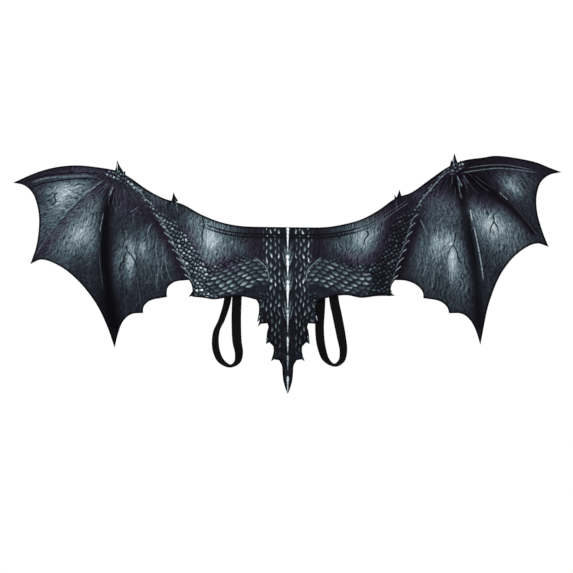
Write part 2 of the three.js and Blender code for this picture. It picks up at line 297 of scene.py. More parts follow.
class Bench:
    """Builds one node tree, for a material or for Geometry Nodes."""

    def __init__(self, tree: bpy.types.NodeTree) -> None:
        """Keeps the tree that the nodes go into."""
        self.tree = tree

    def add(self, kind: str, settings: Mapping[str, Any] | None = None,
            inputs: Mapping[str | int, Any] | None = None) -> bpy.types.Node:
        """Adds a node.

        Args:
            kind: Node type.
            settings: Its properties, set first. The key stops gives a ramp's places and colours.
            inputs: Values or links of its sockets, by name or number.

        Returns:
            The node.
        """
        node = self.tree.nodes.new(kind)
        for name, value in (settings or {}).items():
            if name != "stops":
                setattr(node, name, value)
                continue
            ramp = node.color_ramp.elements
            while len(ramp) < len(value):
                ramp.new(1.0)
            for element, (place, colour) in zip(ramp, value):
                element.position = place
                element.color = colour
        for name, value in (inputs or {}).items():
            socket = self.socket(node, name)
            if isinstance(value, Value):
                self.tree.links.new(value.socket, socket)
            elif isinstance(value, bpy.types.NodeSocket):
                self.tree.links.new(value, socket)
            else:
                socket.default_value = value
        return node

    @staticmethod
    def socket(node: bpy.types.Node, name: str | int) -> bpy.types.NodeSocket:
        """The input of a node by its name or number."""
        if isinstance(name, int):
            return node.inputs[name]
        return next(s for s in node.inputs if s.name == name and s.enabled)

    def math(self, operation: str, *values: Number) -> Value:
        """Adds one Math node.

        Args:
            operation: The node's operation.
            values: Its numbers.

        Returns:
            Its result.
        """
        node = self.add("ShaderNodeMath", {"operation": operation}, dict(enumerate(values)))
        return Value(self, node.outputs[0])

    def reading(self, name: str) -> Value:
        """A number that the mesh carries at its points."""
        return Value(self, self.add("ShaderNodeAttribute", {"attribute_name": name}).outputs["Fac"])

    def readings(self, name: str) -> list[Value]:
        """The three numbers of a vector that the mesh carries at its points."""
        return self.split(self.add("ShaderNodeAttribute", {"attribute_name": name}).outputs["Vector"])

    def split(self, socket: bpy.types.NodeSocket) -> list[Value]:
        """A vector socket as three numbers."""
        return [Value(self, s) for s in self.add("ShaderNodeSeparateXYZ", None, {0: socket}).outputs]

    def place(self) -> list[Value]:
        """Object coordinates in millimetres."""
        where = self.add("ShaderNodeTexCoord").outputs["Object"]
        return [v * 1000 for v in self.split(where)]

    def vector(self, x: Number, y: Number, z: Number = 0.0) -> bpy.types.NodeSocket:
        """Three numbers as a vector socket."""
        return self.add("ShaderNodeCombineXYZ", None, {0: x, 1: y, 2: z}).outputs[0]

    def noise(self, where: bpy.types.NodeSocket, detail: float = 2.0, rough: float = 0.5) -> bpy.types.Node:
        """Adds a noise texture.

        Args:
            where: Its coordinates, in cells.
            detail: Octaves.
            rough: How much the finer octaves count.

        Returns:
            The node.
        """
        inputs = {"Vector": where, "Scale": 1.0, "Detail": detail, "Roughness": rough}
        return self.add("ShaderNodeTexNoise", None, inputs)

    def grain(self, where: bpy.types.NodeSocket, detail: float = 2.0, rough: float = 0.5) -> Value:
        """A noise texture's number alone."""
        return Value(self, self.noise(where, detail, rough).outputs["Fac"])

    def cells(self, where: bpy.types.NodeSocket, feature: str, randomness: float) -> bpy.types.Node:
        """Adds a flat Voronoi texture.

        Args:
            where: Its coordinates, in cells.
            feature: Which distance it measures.
            randomness: How far the cells stray from a grid.

        Returns:
            The node.
        """
        settings = {"voronoi_dimensions": "2D", "feature": feature}
        return self.add("ShaderNodeTexVoronoi", settings,
                        {"Vector": where, "Scale": 1.0, "Randomness": randomness})

    def tint(self, base: Any, other: Any, share: Number) -> bpy.types.NodeSocket:
        """Mixes two colours.

        Args:
            base: Colour or socket at share 0.
            other: Colour or socket at share 1.
            share: How much of the other.

        Returns:
            The mixed colour's socket.
        """
        node = self.add("ShaderNodeMix", {"data_type": "RGBA"}, {"Factor": share, "A": base, "B": other})
        return next(s for s in node.outputs if s.enabled)

    def bump(self, height: Value, strength: float, depth: float) -> bpy.types.NodeSocket:
        """A bump from a height of 0 to 1, depth metres deep."""
        inputs = {"Strength": strength, "Distance": depth, "Height": height}
        return self.add("ShaderNodeBump", None, inputs).outputs[0]


@dataclass(frozen=True)
class Finish:
    """What every finish of the wings shares."""

    name: str
    roughness: float = 0.85
    gloss: float = 0.1

    def material(self) -> bpy.types.Material:
        """The finish as a node material."""
        material = bpy.data.materials.new(self.name)
        material.use_nodes = True
        material.node_tree.nodes.clear()
        bench = Bench(material.node_tree)
        constants = {"Roughness": self.roughness, "Specular IOR Level": self.gloss}
        shader = bench.add("ShaderNodeBsdfPrincipled", None, {**constants, **self.inputs(bench)})
        bench.add("ShaderNodeOutputMaterial", None, {"Surface": shader.outputs[0]})
        return material

    def inputs(self, bench: Bench) -> dict[str, Any]:
        """The shader's inputs that differ from the finish's own constants."""
        return {}


# Colour of the print by its lightness
INK_STOPS = (
    (0.0, (2, 2, 4)),
    (0.07, (15, 16, 21)),
    (0.16, (33, 37, 45)),
    (0.3, (62, 76, 83)),
    (0.45, (98, 115, 122)),
    (0.62, (146, 161, 168)),
    (0.85, (212, 220, 225)),
    (1.0, (250, 252, 253)),
)


@dataclass(frozen=True)
class PrintedHide(Finish):
    """Felt printed with a dragon's hide: stretched skin, scales, veins and cracks."""

    contrast: float = 0.062
    pebble_size: float = 9.8
    mark_width: float = 10.4
    mark_length: float = 21.0
    drift_size: float = 46
    drift: Spot = (34, 40)
    ridge_size: Spot = (5.4, 17)
    ridge_step: Spot = (1.8, 2.2)
    grit_size: Spot = (2.2, 6)
    vein_size: Spot = (9, 46)
    fold_size: Spot = (6.4, 15)
    crack_size: float = 24
    purple: Sequence[float] = (1.3, 0.9, 1.12, 1.0)

    def skin(self, bench: Bench, x: Value, z: Value) -> Value:
        """Wrinkles of the stretched skin, drawn along the grain of each bay.

        Args:
            bench: Bench of the material.
            x: Object X in millimetres.
            z: Object Z in millimetres.

        Returns:
            How much the wrinkles lighten or darken the skin, around 0.
        """
        across, along, _ = bench.readings("grain")
        drift = bench.noise(bench.vector(x / self.drift_size, z / self.drift_size), 3.0, 0.6).outputs["Color"]
        sway, slide, _ = bench.split(drift)
        across = across + (sway - 0.5) * self.drift[0]
        along = along + (slide - 0.5) * self.drift[1]
        wide, long = self.ridge_size
        ridges = bench.grain(bench.vector(across / wide, along / long), 3.0, 0.58)
        moved = bench.vector((across - self.ridge_step[0]) / wide, (along + self.ridge_step[1]) / long)
        behind = bench.grain(moved, 3.0, 0.58)
        grit = bench.grain(bench.vector(across / self.grit_size[0], along / self.grit_size[1]), 2.0)
        vein = bench.vector(across / self.vein_size[0], along / self.vein_size[1])
        veins = 1 - abs(bench.grain(vein, 1.0) - 0.5) * 20
        fold = bench.vector(across / self.fold_size[0], along / self.fold_size[1])
        chance = bench.split(bench.cells(fold, "F1", 1.0).outputs["Color"])[0]
        cracks = Value(bench, bench.cells(fold, "DISTANCE_TO_EDGE", 1.0).outputs["Distance"])
        where = bench.grain(bench.vector(x / self.crack_size, z / self.crack_size), 2.0).step(0.4, 0.6)
        crack = cracks.step(0.24, 0.02) * (0.2 + where * 0.8)
        raised = (ridges - behind) * 13 + (ridges - 0.5) * 4 + (grit - 0.5) * 3.6
        return raised + (chance - 0.5) * 0.8 + veins.most(0) * 1.3 - crack * 1.9 - 0.2

    def pebbles(self, bench: Bench, x: Value, z: Value, size: float) -> Value:
        """Small round scales.

        Args:
            bench: Bench of the material.
            x: Object X in millimetres.
            z: Object Z in millimetres.
            size: Pitch of the scales.

        Returns:
            Lightness, from 0 in the gaps to 1.
        """
        turned_x = (abs(x) * 0.87 + z * 0.5) / size
        turned_z = (z * 0.87 - abs(x) * 0.5) / size
        where = bench.vector(turned_x, turned_z)
        nearest = bench.cells(where, "F1", 0.66)
        gap = Value(bench, bench.cells(where, "DISTANCE_TO_EDGE", 0.66).outputs["Distance"])
        middle_x, middle_z, _ = bench.split(nearest.outputs["Position"])
        shine = (turned_z - middle_z + (turned_x - middle_x) * 0.3).step(-0.42, 0.34)
        chance = bench.split(nearest.outputs["Color"])[0]
        return gap.step(0.06, 0.28) * (0.25 + chance * 0.7) * (0.22 + shine * 1.02)

    def marks(self, bench: Bench, across: Value, along: Value, fill: float, lean: Spot) -> Value:
        """Long scales laid like bricks, each pointed at both ends.

        Args:
            bench: Bench of the material.
            across: Place across the rows, in rows.
            along: Place along the rows, in scales.
            fill: Half width of a scale, in rows.
            lean: Way from a scale's dark end to its light one, across and along the rows.

        Returns:
            Lightness, from 0 in the gaps to 1.
        """
        row = across.floor()
        shifted = along + (row * 0.5).fraction()
        column = shifted.floor()
        chance = bench.add("ShaderNodeTexWhiteNoise", {"noise_dimensions": "2D"},
                           {"Vector": bench.vector(row, column)}).outputs["Value"]
        luck = Value(bench, chance)
        offset = across - row - 0.5 + ((luck * 7).fraction() - 0.5) * 0.2
        reach = shifted - column - 0.5
        width = fill - reach * reach * fill * 4.2
        body = (width - abs(offset)).step(-0.04, 0.18)
        shine = (offset * lean[0] + reach * lean[1]).step(-0.42, 0.42)
        core = (width * 0.5 - abs(offset)).step(-0.04, 0.1)
        return body * (0.3 + luck * 0.7) * (0.2 + shine * 0.7 + shine * core * 0.65)

    def inputs(self, bench: Bench) -> dict[str, Any]:
        """What varies over the print, read from the numbers that PrintLayout puts on the mesh."""
        x, _, z = bench.place()
        wrinkles = self.skin(bench, x, z)
        level = bench.reading("level")
        relief = level.step(-0.03, 0.42) * (1 - level.step(0.42, 0.8) * 0.35)
        tone = level + wrinkles * relief * self.contrast
        scale_level = bench.reading("scale_level")
        sway, slide, _ = bench.split(bench.noise(bench.vector(x / 28, z / 28), 2.0).outputs["Color"])
        row, scale, _ = bench.readings("rows")
        ovals = self.marks(bench, row + (slide - 0.5) * 1.2, scale + (sway - 0.5) * 1.0, 0.5, (0.8, 0.6))
        column = (abs(x) + (sway - 0.5) * 22) / self.mark_width + 0.4
        along = z / self.mark_length + (slide - 0.5) * 0.9
        plates = self.marks(bench, column, along, 0.31, (0.2, -1.0))
        pebbles = self.pebbles(bench, x, z, self.pebble_size)
        for mask, scales, gap in (("pebble", pebbles, 0.11), ("oval", ovals, 0.26), ("plate", plates, 0.16)):
            tone = tone.toward((scales + gap) * scale_level, bench.reading(mask))
        # Printed dark lines darken the tone, and so does the painted shade along the stitch rows
        tone = tone * (1 - bench.reading("dark_gap").step(1.0, 0.3) * bench.reading("dark_depth"))
        rim = bench.reading("rim")
        tone = tone * (0.1 + rim.step(1.5, 6.5) * 0.9)
        pale = bench.reading("pale_gap").step(1.0, 0.3) * rim.step(0.4, 2.2)
        grit = bench.grain(bench.vector(x / 2.2, z / 2.2), 2.0)
        scratch = bench.grain(bench.vector(x / 7, z / 7), 1.0).step(0.3, 0.6)
        tone = tone.most(pale * bench.reading("pale_tone") * (0.42 + grit * 0.6 + scratch * 0.4))
        tone = (0.012 + tone * (0.93 + grit * 0.14)).least(0.97)
        stops = [(place, srgb(*colour)) for place, colour in INK_STOPS]
        ink = bench.add("ShaderNodeValToRGB", {"stops": stops}, {"Fac": tone}).outputs["Color"]
        warm = bench.add("ShaderNodeMix", {"data_type": "RGBA", "blend_type": "MULTIPLY"},
                         {"Factor": 1.0, "A": ink, "B": self.purple})
        warmed = next(s for s in warm.outputs if s.enabled)
        share = bench.reading("dusk") * tone.step(0.42, 0.2)
        fibres = bench.grain(bench.vector(x / 0.9, z / 0.9), 3.0, 0.7)
        return {
            "Base Color": bench.tint(ink, warmed, share),
            "Roughness": 0.68 + fibres * 0.2,
            "Normal": bench.bump(fibres * 0.5 + wrinkles * 0.12, 0.25, 0.0005),
        }


@dataclass(frozen=True)
class PlainFelt(Finish):
    """Unprinted felt: short matted fibres."""

    dark: Colour = (13, 13, 15)
    pale: Colour = (36, 37, 41)

    def inputs(self, bench: Bench) -> dict[str, Any]:
        """What varies over the piece."""
        x, y, z = bench.place()
        drift = bench.noise(bench.vector(x / 9, z / 9, y / 9), 2.0).outputs["Color"]
        sway, slide, _ = bench.split(drift)
        matted = bench.grain(bench.vector(x / 0.5 + sway * 20, z / 2.6 + slide * 9, y / 0.8), 3.0, 0.65)
        crossed = bench.grain(bench.vector(x / 2.8 + slide * 9, z / 0.5 + sway * 20, y / 0.8), 3.0, 0.65)
        cloud = bench.grain(bench.vector(x / 60, z / 60), 3.0)
        fibres = matted.most(crossed)
        share = fibres.step(0.42, 0.78) * (0.5 + cloud * 0.8)
        return {
            "Base Color": bench.tint(srgb(*self.dark), srgb(*self.pale), share),
            "Roughness": 0.86 + fibres * 0.12,
            "Normal": bench.bump(fibres, 0.5, 0.0006),
            "Sheen Weight": 0.08,
            "Sheen Roughness": 0.5,
        }


@dataclass(frozen=True)
class WovenElastic(Finish):
    """Flat elastic: lengthwise ribs crossed by fine picks."""

    dark: Colour = (6, 6, 7)
    pale: Colour = (25, 25, 26)
    rib_pitch: float = 1.25
    pick_pitch: float = 0.9

    def inputs(self, bench: Bench) -> dict[str, Any]:
        """What varies over the strap, with its place read from the strap's own weave attribute."""
        across, along, _ = bench.readings("weave")
        rib = across / self.rib_pitch
        column = rib.floor()
        ridge = 1 - abs(rib - column - 0.5) * 2
        pick = ((along / self.pick_pitch + (column * 0.5).fraction()) * math.tau).sine() * 0.5 + 0.5
        fluff = bench.grain(bench.vector(across / 0.7, along / 0.7), 3.0, 0.6)
        wear = bench.grain(bench.vector(across / 14, along / 40), 2.0)
        # The colour follows the weave's relief: lighter on the crests of the ribs and picks and darker
        # between them, a painted highlight and shade on top of the bump, with fluff and wear varying it at
        # random
        weave = ridge.step(0.1, 0.9) * (0.55 + pick * 0.45)
        share = weave * (0.35 + fluff * 0.6) * (0.6 + wear * 0.6)
        return {
            "Base Color": bench.tint(srgb(*self.dark), srgb(*self.pale), share),
            "Roughness": 0.62 + fluff * 0.25,
            "Normal": bench.bump(weave, 0.6, 0.0004),
        }


@dataclass(frozen=True)
class TwistedThread(Finish):
    """Sewing thread: two plies twisted round each other."""

    dark: Colour = (20, 21, 24)
    pale: Colour = (58, 62, 68)
    twist: float = 1.1

    def inputs(self, bench: Bench) -> dict[str, Any]:
        """What varies over the piece."""
        x, y, z = bench.place()
        plies = ((x + y + z) * (math.tau / self.twist)).sine() * 0.5 + 0.5
        fluff = bench.grain(bench.vector(x / 0.4, y / 0.4, z / 0.4), 2.0)
        return {
            # The colour follows the twist: darker along the grooves between the plies and lighter on their
            # crests, painted shade and highlight on top of the bump, with fluff varying it
            "Base Color": bench.tint(srgb(*self.dark), srgb(*self.pale), plies * 0.6 + fluff * 0.4),
            "Roughness": 0.5 + fluff * 0.2,
            "Normal": bench.bump(plies, 0.4, 0.0002),
        }


@dataclass(frozen=True)
class StudioFloor(Finish):
    """Seamless white studio paper."""

    paper: Colour = (253, 253, 253)

    def inputs(self, bench: Bench) -> dict[str, Any]:
        """What varies over the piece."""
        x, y, _ = bench.place()
        tooth = bench.grain(bench.vector(x / 40, y / 40), 2.0)
        return {"Base Color": bench.tint(srgb(*self.paper), srgb(255, 255, 255), tooth)}


@dataclass(frozen=True)
class Line:
    """A thin drawn line: how light or how dark it is, its width in millimetres and its path."""

    name: str
    tone: float
    width: float
    path: Sequence[Spot]
    ends: Ends = Ends.FADED


@dataclass(frozen=True)
class Glow:
    """A light patch of stretched skin: an ellipse with its half lengths, its turn and its tone."""

    name: str
    centre: Spot
    long: float
    wide: float
    turn: float
    tone: float


@dataclass(frozen=True)
class Dusk:
    """A dark band: its half width, how much it darkens, its path and how purple it is."""

    name: str
    width: float
    depth: float
    path: Sequence[Spot]
    purple: float = 1.0


@dataclass(frozen=True)
class ScaleField:
    """A strip of scales: a path of places with the strip's half width at each, and its lightness."""

    name: str
    path: Sequence[tuple[float, float, float]]
    tone: float


@dataclass(frozen=True)
class SpurRow:
    """Curved spurs in a row down the outer side of an arm, in millimetres."""

    first: Spot
    last: Spot
    reach: Spot
    count: int
    tone: float = 0.5
    width: float = 2.6
    bend: Spot = (0.62, 0.42)


@dataclass(frozen=True)
class Spindle:
    """A white spindle on the spine: its top and point, half its width, its tone and the glow at its top."""

    top: float
    point: float
    width: float
    tone: float
    glow: float


# The print's tables, in millimetres from the nape: X to the right, Z up
PALE_LINES = (
    Line("leading band left", 0.36, 4.4,
         ((-675, 110), (-640, 124), (-600, 130), (-560, 132), (-525, 133), (-485, 130))),
    Line("second finger light left", 0.5, 2.0,
         ((-473, 127), (-500, 105), (-530, 85), (-548, 67), (-580, 35), (-592, 20))),
    Line("second finger low left", 0.34, 1.8, ((-592, 20), (-615, -10), (-640, -48), (-660, -80))),
    Line("third finger short left", 0.5, 1.8, ((-453, 105), (-458, 94), (-463, 80))),
    Line("third finger light left", 0.44, 1.8, ((-478, 40), (-482, 20), (-486, 0), (-487, -18))),
    Line("third finger low left", 0.24, 1.5, ((-487, -12), (-490, -60), (-486, -110), (-477, -175))),
    Line("arm bone left", 0.5, 2.4,
         ((-420, 123), (-406, 110), (-385, 95), (-372, 78), (-357, 63), (-340, 43))),
    Line("star left a", 0.42, 1.4, ((-410, 38), (-398, 46), (-386, 53))),
    Line("star left b", 0.36, 1.4, ((-401, 40), (-401, 24), (-400, 6))),
    Line("star left c", 0.3, 1.2, ((-397, 46), (-385, 39), (-377, 33))),
    Line("vein left a", 0.5, 1.6, ((-349, 12), (-358, 2), (-363, -12), (-360, -33), (-356, -54))),
    Line("vein left b", 0.42, 1.6, ((-338, -12), (-342, -60), (-336, -106), (-340, -150), (-335, -178))),
    Line("vein left c", 0.4, 1.5, ((-328, -33), (-323, -75), (-328, -116), (-320, -150))),
    Line("vein left d", 0.4, 1.4, ((-315, -60), (-318, -90), (-309, -124), (-300, -147))),
    Line("thumb left", 0.44, 1.4, ((-292, 73), (-289, 60), (-286, 37))),
    Line("shoulder left a", 0.46, 2.1,
         ((-90, -77), (-76, -85), (-62, -97), (-53, -110), (-49, -125), (-50, -149))),
    Line("shoulder left b", 0.34, 1.7, ((-66, -83), (-56, -93), (-47, -110))),
    Line("leading upper right", 0.36, 1.6,
         ((456, 151), (490, 157), (527, 161), (565, 161), (608, 154), (650, 146))),
    Line("leading lower right", 0.42, 1.7,
         ((440, 138), (470, 144), (505, 149), (545, 153), (587, 150), (630, 144), (666, 140))),
    Line("second finger glint right", 0.46, 2.0, ((548, 92), (561, 80), (574, 69))),
    Line("second finger low right", 0.22, 1.5, ((580, 63), (606, 34), (634, -2), (660, -33))),
    Line("third finger short right", 0.5, 1.8, ((438, 135), (446, 120), (454, 103))),
    Line("third finger glint right", 0.66, 2.1, ((473, 48), (476, 32), (480, 13))),
    Line("third finger light right", 0.56, 2.4,
         ((480, 13), (488, -19), (496, -59), (504, -106), (509, -150))),
    Line("arm bone right", 0.5, 2.2, ((413, 145), (379, 108), (359, 84), (347, 70), (337, 54), (328, 39))),
    Line("star right a", 0.46, 1.5, ((343, 22), (352, 3), (363, -25))),
    Line("star right b", 0.34, 1.4, ((371, 79), (386, 72), (404, 63))),
    Line("vein right a", 0.42, 1.5, ((345, -60), (341, -90), (333, -116))),
    Line("vein right b", 0.42, 1.4, ((371, -49), (363, -85), (352, -121), (342, -139))),
    Line("vein right c", 0.42, 1.5, ((386, -90), (378, -131), (373, -168))),
    Line("fold right", 0.4, 1.4, ((500, -39), (518, -42), (539, -40), (557, -42))),
    Line("thumb right", 0.3, 1.3, ((281, 73), (282, 57), (282, 44))),
    Line("shoulder right a", 0.46, 2.1,
         ((90, -75), (76, -87), (59, -103), (51, -116), (48, -130), (52, -149))),
    Line("shoulder right b", 0.34, 1.7, ((65, -85), (51, -98), (46, -110))),
    Line("neck piping right a", 0.34, 1.6, ((213, 5), (250, 21), (282, 43), (322, 69))),
    Line("neck piping right b", 0.26, 1.4, ((240, 24), (260, 37), (282, 51), (318, 77))),
)
TIP_LIGHTS = (
    Line("claw light left", 0.95, 2.6, ((-443, 166), (-443, 157), (-442, 148))),
    Line("claw light right", 0.6, 2.0, ((431, 179), (430, 169), (432, 158))),
    Line("barb left a", 0.7, 1.6, ((-73, -230), (-76, -242), (-78, -248))),
    Line("barb left b", 0.6, 1.5, ((-53, -286), (-54, -295))),
    Line("barb left c", 0.7, 1.6, ((-39, -330), (-42, -341))),
    Line("barb right a", 0.7, 1.7, ((74, -230), (77, -243), (78, -253))),
    Line("barb right b", 0.65, 1.5, ((52, -283), (55, -295))),
    Line("barb right c", 0.7, 1.6, ((38, -330), (40, -341))),
)
DARK_LINES = (
    Line("leading groove left", 0.9, 2.2,
         ((-672, 100), (-640, 112), (-600, 120), (-563, 124), (-522, 126), (-486, 123))),
    Line("leading shadow left", 0.9, 2.0,
         ((-693, 115), (-662, 126), (-625, 134), (-584, 139), (-527, 141), (-475, 138))),
    Line("second finger groove left", 0.6, 1.6,
         ((-486, 110), (-522, 82), (-545, 61), (-576, 29), (-610, -12))),
    Line("third finger groove left", 0.9, 2.4,
         ((-472, 44), (-476, 13), (-480, -28), (-482, -64), (-478, -124))),
    Line("crack left a", 0.86, 2.4, ((-419, -43), (-417, -60), (-406, -73), (-396, -89), (-390, -111))),
    Line("crack left b", 0.86, 2.4, ((-419, -62), (-425, -82), (-434, -98), (-437, -116))),
    Line("crack left c", 0.86, 2.4, ((-597, 91), (-607, 81), (-602, 68), (-615, 55))),
    Line("crack left d", 0.86, 2.4, ((-223, 32), (-218, 3), (-223, -23), (-219, -41))),
    Line("leading groove right", 0.9, 1.8, ((471, 150), (505, 155), (544, 157), (585, 155), (629, 148))),
    Line("third finger groove right", 0.9, 2.2, ((465, 39), (473, -7), (483, -64), (492, -116))),
    Line("crack right a", 0.86, 2.4, ((437, -12), (433, -33), (430, -44), (420, -58), (414, -75))),
    Line("crack right b", 0.86, 2.4, ((430, -44), (439, -64), (444, -82), (456, -100))),
    Line("crack right c", 0.86, 2.4, ((533, 34), (535, 16), (527, -2), (525, -20))),
    Line("crack right d", 0.86, 2.4, ((535, 16), (544, 1), (548, -10))),
    Line("crack right e", 0.86, 2.4, ((202, -7), (209, -18), (200, -32), (196, -49))),
)
GLOWS = (
    Glow("first bay left, glint", (-585, 80), 40, 20, 50, 0.24),
    Glow("first bay left", (-590, 58), 105, 40, 50, 0.2),
    Glow("first bay left, upper", (-605, 100), 40, 20, 10, 0.2),
    Glow("first bay left, top", (-540, 100), 30, 20, 0, 0.15),
    Glow("second bay left, glint", (-540, -20), 30, 20, 60, 0.2),
    Glow("second bay left", (-550, -15), 90, 45, 50, 0.28),
    Glow("second bay left, upper", (-525, 45), 30, 30, 0, 0.08),
    Glow("second bay left, side", (-510, -45), 45, 20, 80, 0.15),
    Glow("third bay left, streak", (-408, -85), 50, 12, 90, 0.4),
    Glow("third bay left, patch", (-378, -55), 30, 14, 100, 0.25),
    Glow("third bay left", (-365, -60), 70, 35, 85, 0.12),
    Glow("third bay left, fringe", (-320, -70), 80, 30, 80, 0.08),
    Glow("third bay left, side", (-432, -75), 60, 20, 80, 0.2),
    Glow("wrist left", (-440, 65), 70, 40, -10, 0.1),
    Glow("strip over the arm left", (-340, 75), 45, 15, -30, 0.13),
    Glow("neck left, glint", (-203, -28), 35, 24, 90, 0.28),
    Glow("neck left", (-195, -30), 50, 45, 0, 0.26),
    Glow("neck left, side", (-228, 15), 30, 22, 90, 0.15),
    Glow("neck left, inner", (-135, -48), 50, 25, -15, 0.09),
    Glow("neck left, top", (-175, 5), 40, 15, -15, 0.12),
    Glow("shoulder left", (-252, 0), 50, 18, 100, 0.17),
    Glow("shoulder left, low", (-215, -90), 55, 38, 0, 0.25),
    Glow("first bay right, glint", (580, 105), 40, 15, -40, 0.25),
    Glow("first bay right", (588, 118), 35, 45, -60, 0.2),
    Glow("second bay right, glint", (530, 6), 32, 32, 0, 0.36),
    Glow("second bay right", (558, -15), 75, 55, -55, 0.25),
    Glow("second bay right, head", (485, 45), 35, 30, -60, 0.3),
    Glow("third bay right, streak", (427, -88), 50, 12, 92, 0.34),
    Glow("third bay right, head", (408, -38), 20, 18, 90, 0.14),
    Glow("third bay right, patch", (386, -50), 38, 15, 95, 0.22),
    Glow("third bay right", (425, -50), 90, 38, 110, 0.25),
    Glow("third bay right, low", (455, -155), 45, 55, 0, 0.09),
    Glow("third bay right, fringe", (357, -70), 90, 40, 100, 0.16),
    Glow("wrist right", (390, 77), 90, 35, -25, 0.24),
    Glow("neck right, glint", (200, -24), 22, 25, 0, 0.18),
    Glow("neck right", (195, -30), 50, 65, 10, 0.3),
    Glow("neck right, inner", (135, -50), 32, 20, 0, 0.1),
    Glow("neck right, low", (178, -78), 30, 15, 0, 0.2),
    Glow("neck right, side", (245, 12), 38, 18, 65, 0.2),
)
DUSKS = (
    Dusk("strip above the leading band left", 18, 0.05,
         ((-700, 120), (-640, 135), (-585, 145), (-525, 147), (-465, 140))),
    Dusk("second finger left", 13, 0.2, ((-470, 122), (-517, 73), (-580, 8), (-620, -38), (-650, -75))),
    Dusk("third finger left", 16, 0.9,
         ((-462, 80), (-471, 34), (-474, -33), (-473, -90), (-465, -162), (-452, -253)), 0.2),
    Dusk("wrist wedge left", 30, 0.3, ((-444, 90), (-413, 60), (-367, 39))),
    Dusk("third finger foot left", 28, 0.6, ((-475, -188), (-452, -253), (-447, -305)), 0.2),
    Dusk("outside the arm left", 14, 0.5, ((-336, 8), (-310, -38), (-287, -85), (-270, -126))),
    Dusk("under the neck left", 20, 0.2, ((-253, -12), (-227, -69), (-190, -95), (-134, -90))),
    Dusk("beside the spine left", 22, 0.15, ((-80, -12), (-82, -49), (-74, -72))),
    Dusk("strip above the leading band right", 24, 0.35,
         ((450, 158), (503, 166), (549, 169), (606, 161), (666, 148))),
    Dusk("second finger right", 12, 0.75,
         ((456, 138), (503, 112), (541, 81), (580, 50), (611, 19), (637, -12))),
    Dusk("third finger right", 15, 0.72,
         ((443, 112), (456, 55), (468, -12), (479, -75), (491, -162), (497, -253)), 0.2),
    Dusk("wrist wedge right", 65, 0.6, ((404, 127), (450, 112), (497, 96))),
    Dusk("third finger foot right", 30, 0.1, ((477, -188), (497, -253), (499, -297)), 0.2),
    Dusk("outside the arm right", 16, 0.65, ((337, 13), (319, -33), (303, -75), (288, -111), (285, -140))),
    Dusk("under the wrist right", 45, 0.4, ((368, 107), (316, 70), (270, 44))),
    Dusk("under the neck right", 23, 0.42, ((259, 3), (249, -49), (218, -80), (150, -85))),
    Dusk("beside the spine right", 20, 0.25, ((78, -12), (80, -49), (73, -72))),
    Dusk("under the shoulder left", 15, 0.1, ((-150, -178), (-108, -170), (-78, -163), (-66, -150)), 0.2),
    Dusk("under the shoulder right", 15, 0.1, ((66, -150), (78, -163), (108, -170), (150, -178)), 0.2),
    Dusk("tail", 60, 0.3, ((0, -250), (0, -420)), 0.2),
)
# Scales along each arm, over the shoulders and round the wrists
PEBBLE_FIELDS = (
    ScaleField("left elbow", ((-222, -138, 30), (-208, -165, 36)), 0.86),
    ScaleField("left arm", ((-345, 40, 4), (-320, 16, 14), (-298, -8, 20), (-278, -36, 22), (-256, -70, 23),
                            (-236, -104, 26), (-216, -134, 34), (-210, -162, 38)), 0.7),
    ScaleField("right arm", ((328, 36, 6), (306, 20, 15), (292, 0, 21), (288, -28, 23), (278, -56, 23),
                             (260, -84, 24), (242, -112, 27), (228, -146, 38)), 0.3),
    ScaleField("arm bone left", ((-424, 124, 6), (-386, 94, 7), (-345, 42, 7)), 0.62),
    ScaleField("arm bone right", ((412, 146, 5), (378, 108, 6), (330, 42, 6)), 0.48),
    ScaleField("left knuckle", ((-468, 142, 9), (-450, 140, 15), (-430, 134, 14), (-415, 120, 8)), 0.64),
    ScaleField("right knuckle", ((450, 162, 10), (432, 156, 15), (415, 146, 12), (402, 134, 6)), 0.6),
    ScaleField("left shoulder edge",
               ((-225, -128, 30), (-180, -118, 22), (-140, -100, 18), (-110, -88, 13)), 0.5),
    ScaleField("right shoulder edge",
               ((110, -92, 12), (145, -108, 17), (185, -118, 20), (230, -122, 30)), 0.42),
    ScaleField("left tail edge", ((-66, -185, 14), (-64, -225, 13), (-50, -255, 12), (-44, -300, 10)), 0.4),
    ScaleField("right tail edge", ((66, -185, 14), (64, -225, 13), (50, -255, 12), (44, -300, 10)), 0.4),
)
OVAL_FIELDS = (
    ScaleField("left shoulder", ((-178, -144, 32), (-156, -140, 33), (-124, -128, 35), (-92, -118, 35),
                                 (-74, -120, 30), (-62, -126, 20)), 0.46),
    ScaleField("right shoulder", ((62, -126, 20), (74, -120, 30), (92, -118, 34), (124, -128, 34),
                                  (160, -138, 30), (188, -142, 29)), 0.45),
)
# Tips of the feathers at a spindle's top, and how far in and down each goes on from there
FEATHER_TIPS = ((9, 26), (15, 12))
FEATHER_STEPS = ((1, 0), (0.75, 16), (0.45, 36))
SPINDLES = (
    Spindle(3, -62, 5.6, 1.0, 0.35),
    Spindle(-73, -127, 6.9, 1.05, 1.0),
    Spindle(-139, -207, 6.9, 1.05, 1.0),
    Spindle(-214, -271, 5.2, 0.74, 0.8),
    Spindle(-284, -324, 4.6, 0.8, 0.3),
    Spindle(-332, -369, 4.0, 0.58, 0.2),
    Spindle(-386, -428, 5.0, 0.76, 0.2),
)
SPURS = {
    Side.LEFT: SpurRow(first=(-342, 30), last=(-268, -122), reach=(25, -28), count=8),
    Side.RIGHT: SpurRow(first=(338, 34), last=(286, -124), reach=(-20, -26), count=8),
}
# Wrist, corners of the scalloped edge, elbow and waist of each wing, from which the skin is stretched
FINGER_ENDS = {
    Side.LEFT: ((-440, 146), (-710, 115), (-666, -96), (-448, -312), (-374, -222), (-312, -180), (-256, -137),
                (-246, -180), (-82, -188)),
    Side.RIGHT: ((435, 166), (709, 143), (676, -50), (498, -305), (417, -223), (351, -184), (277, -137),
                 (265, -178), (82, -188)),
}
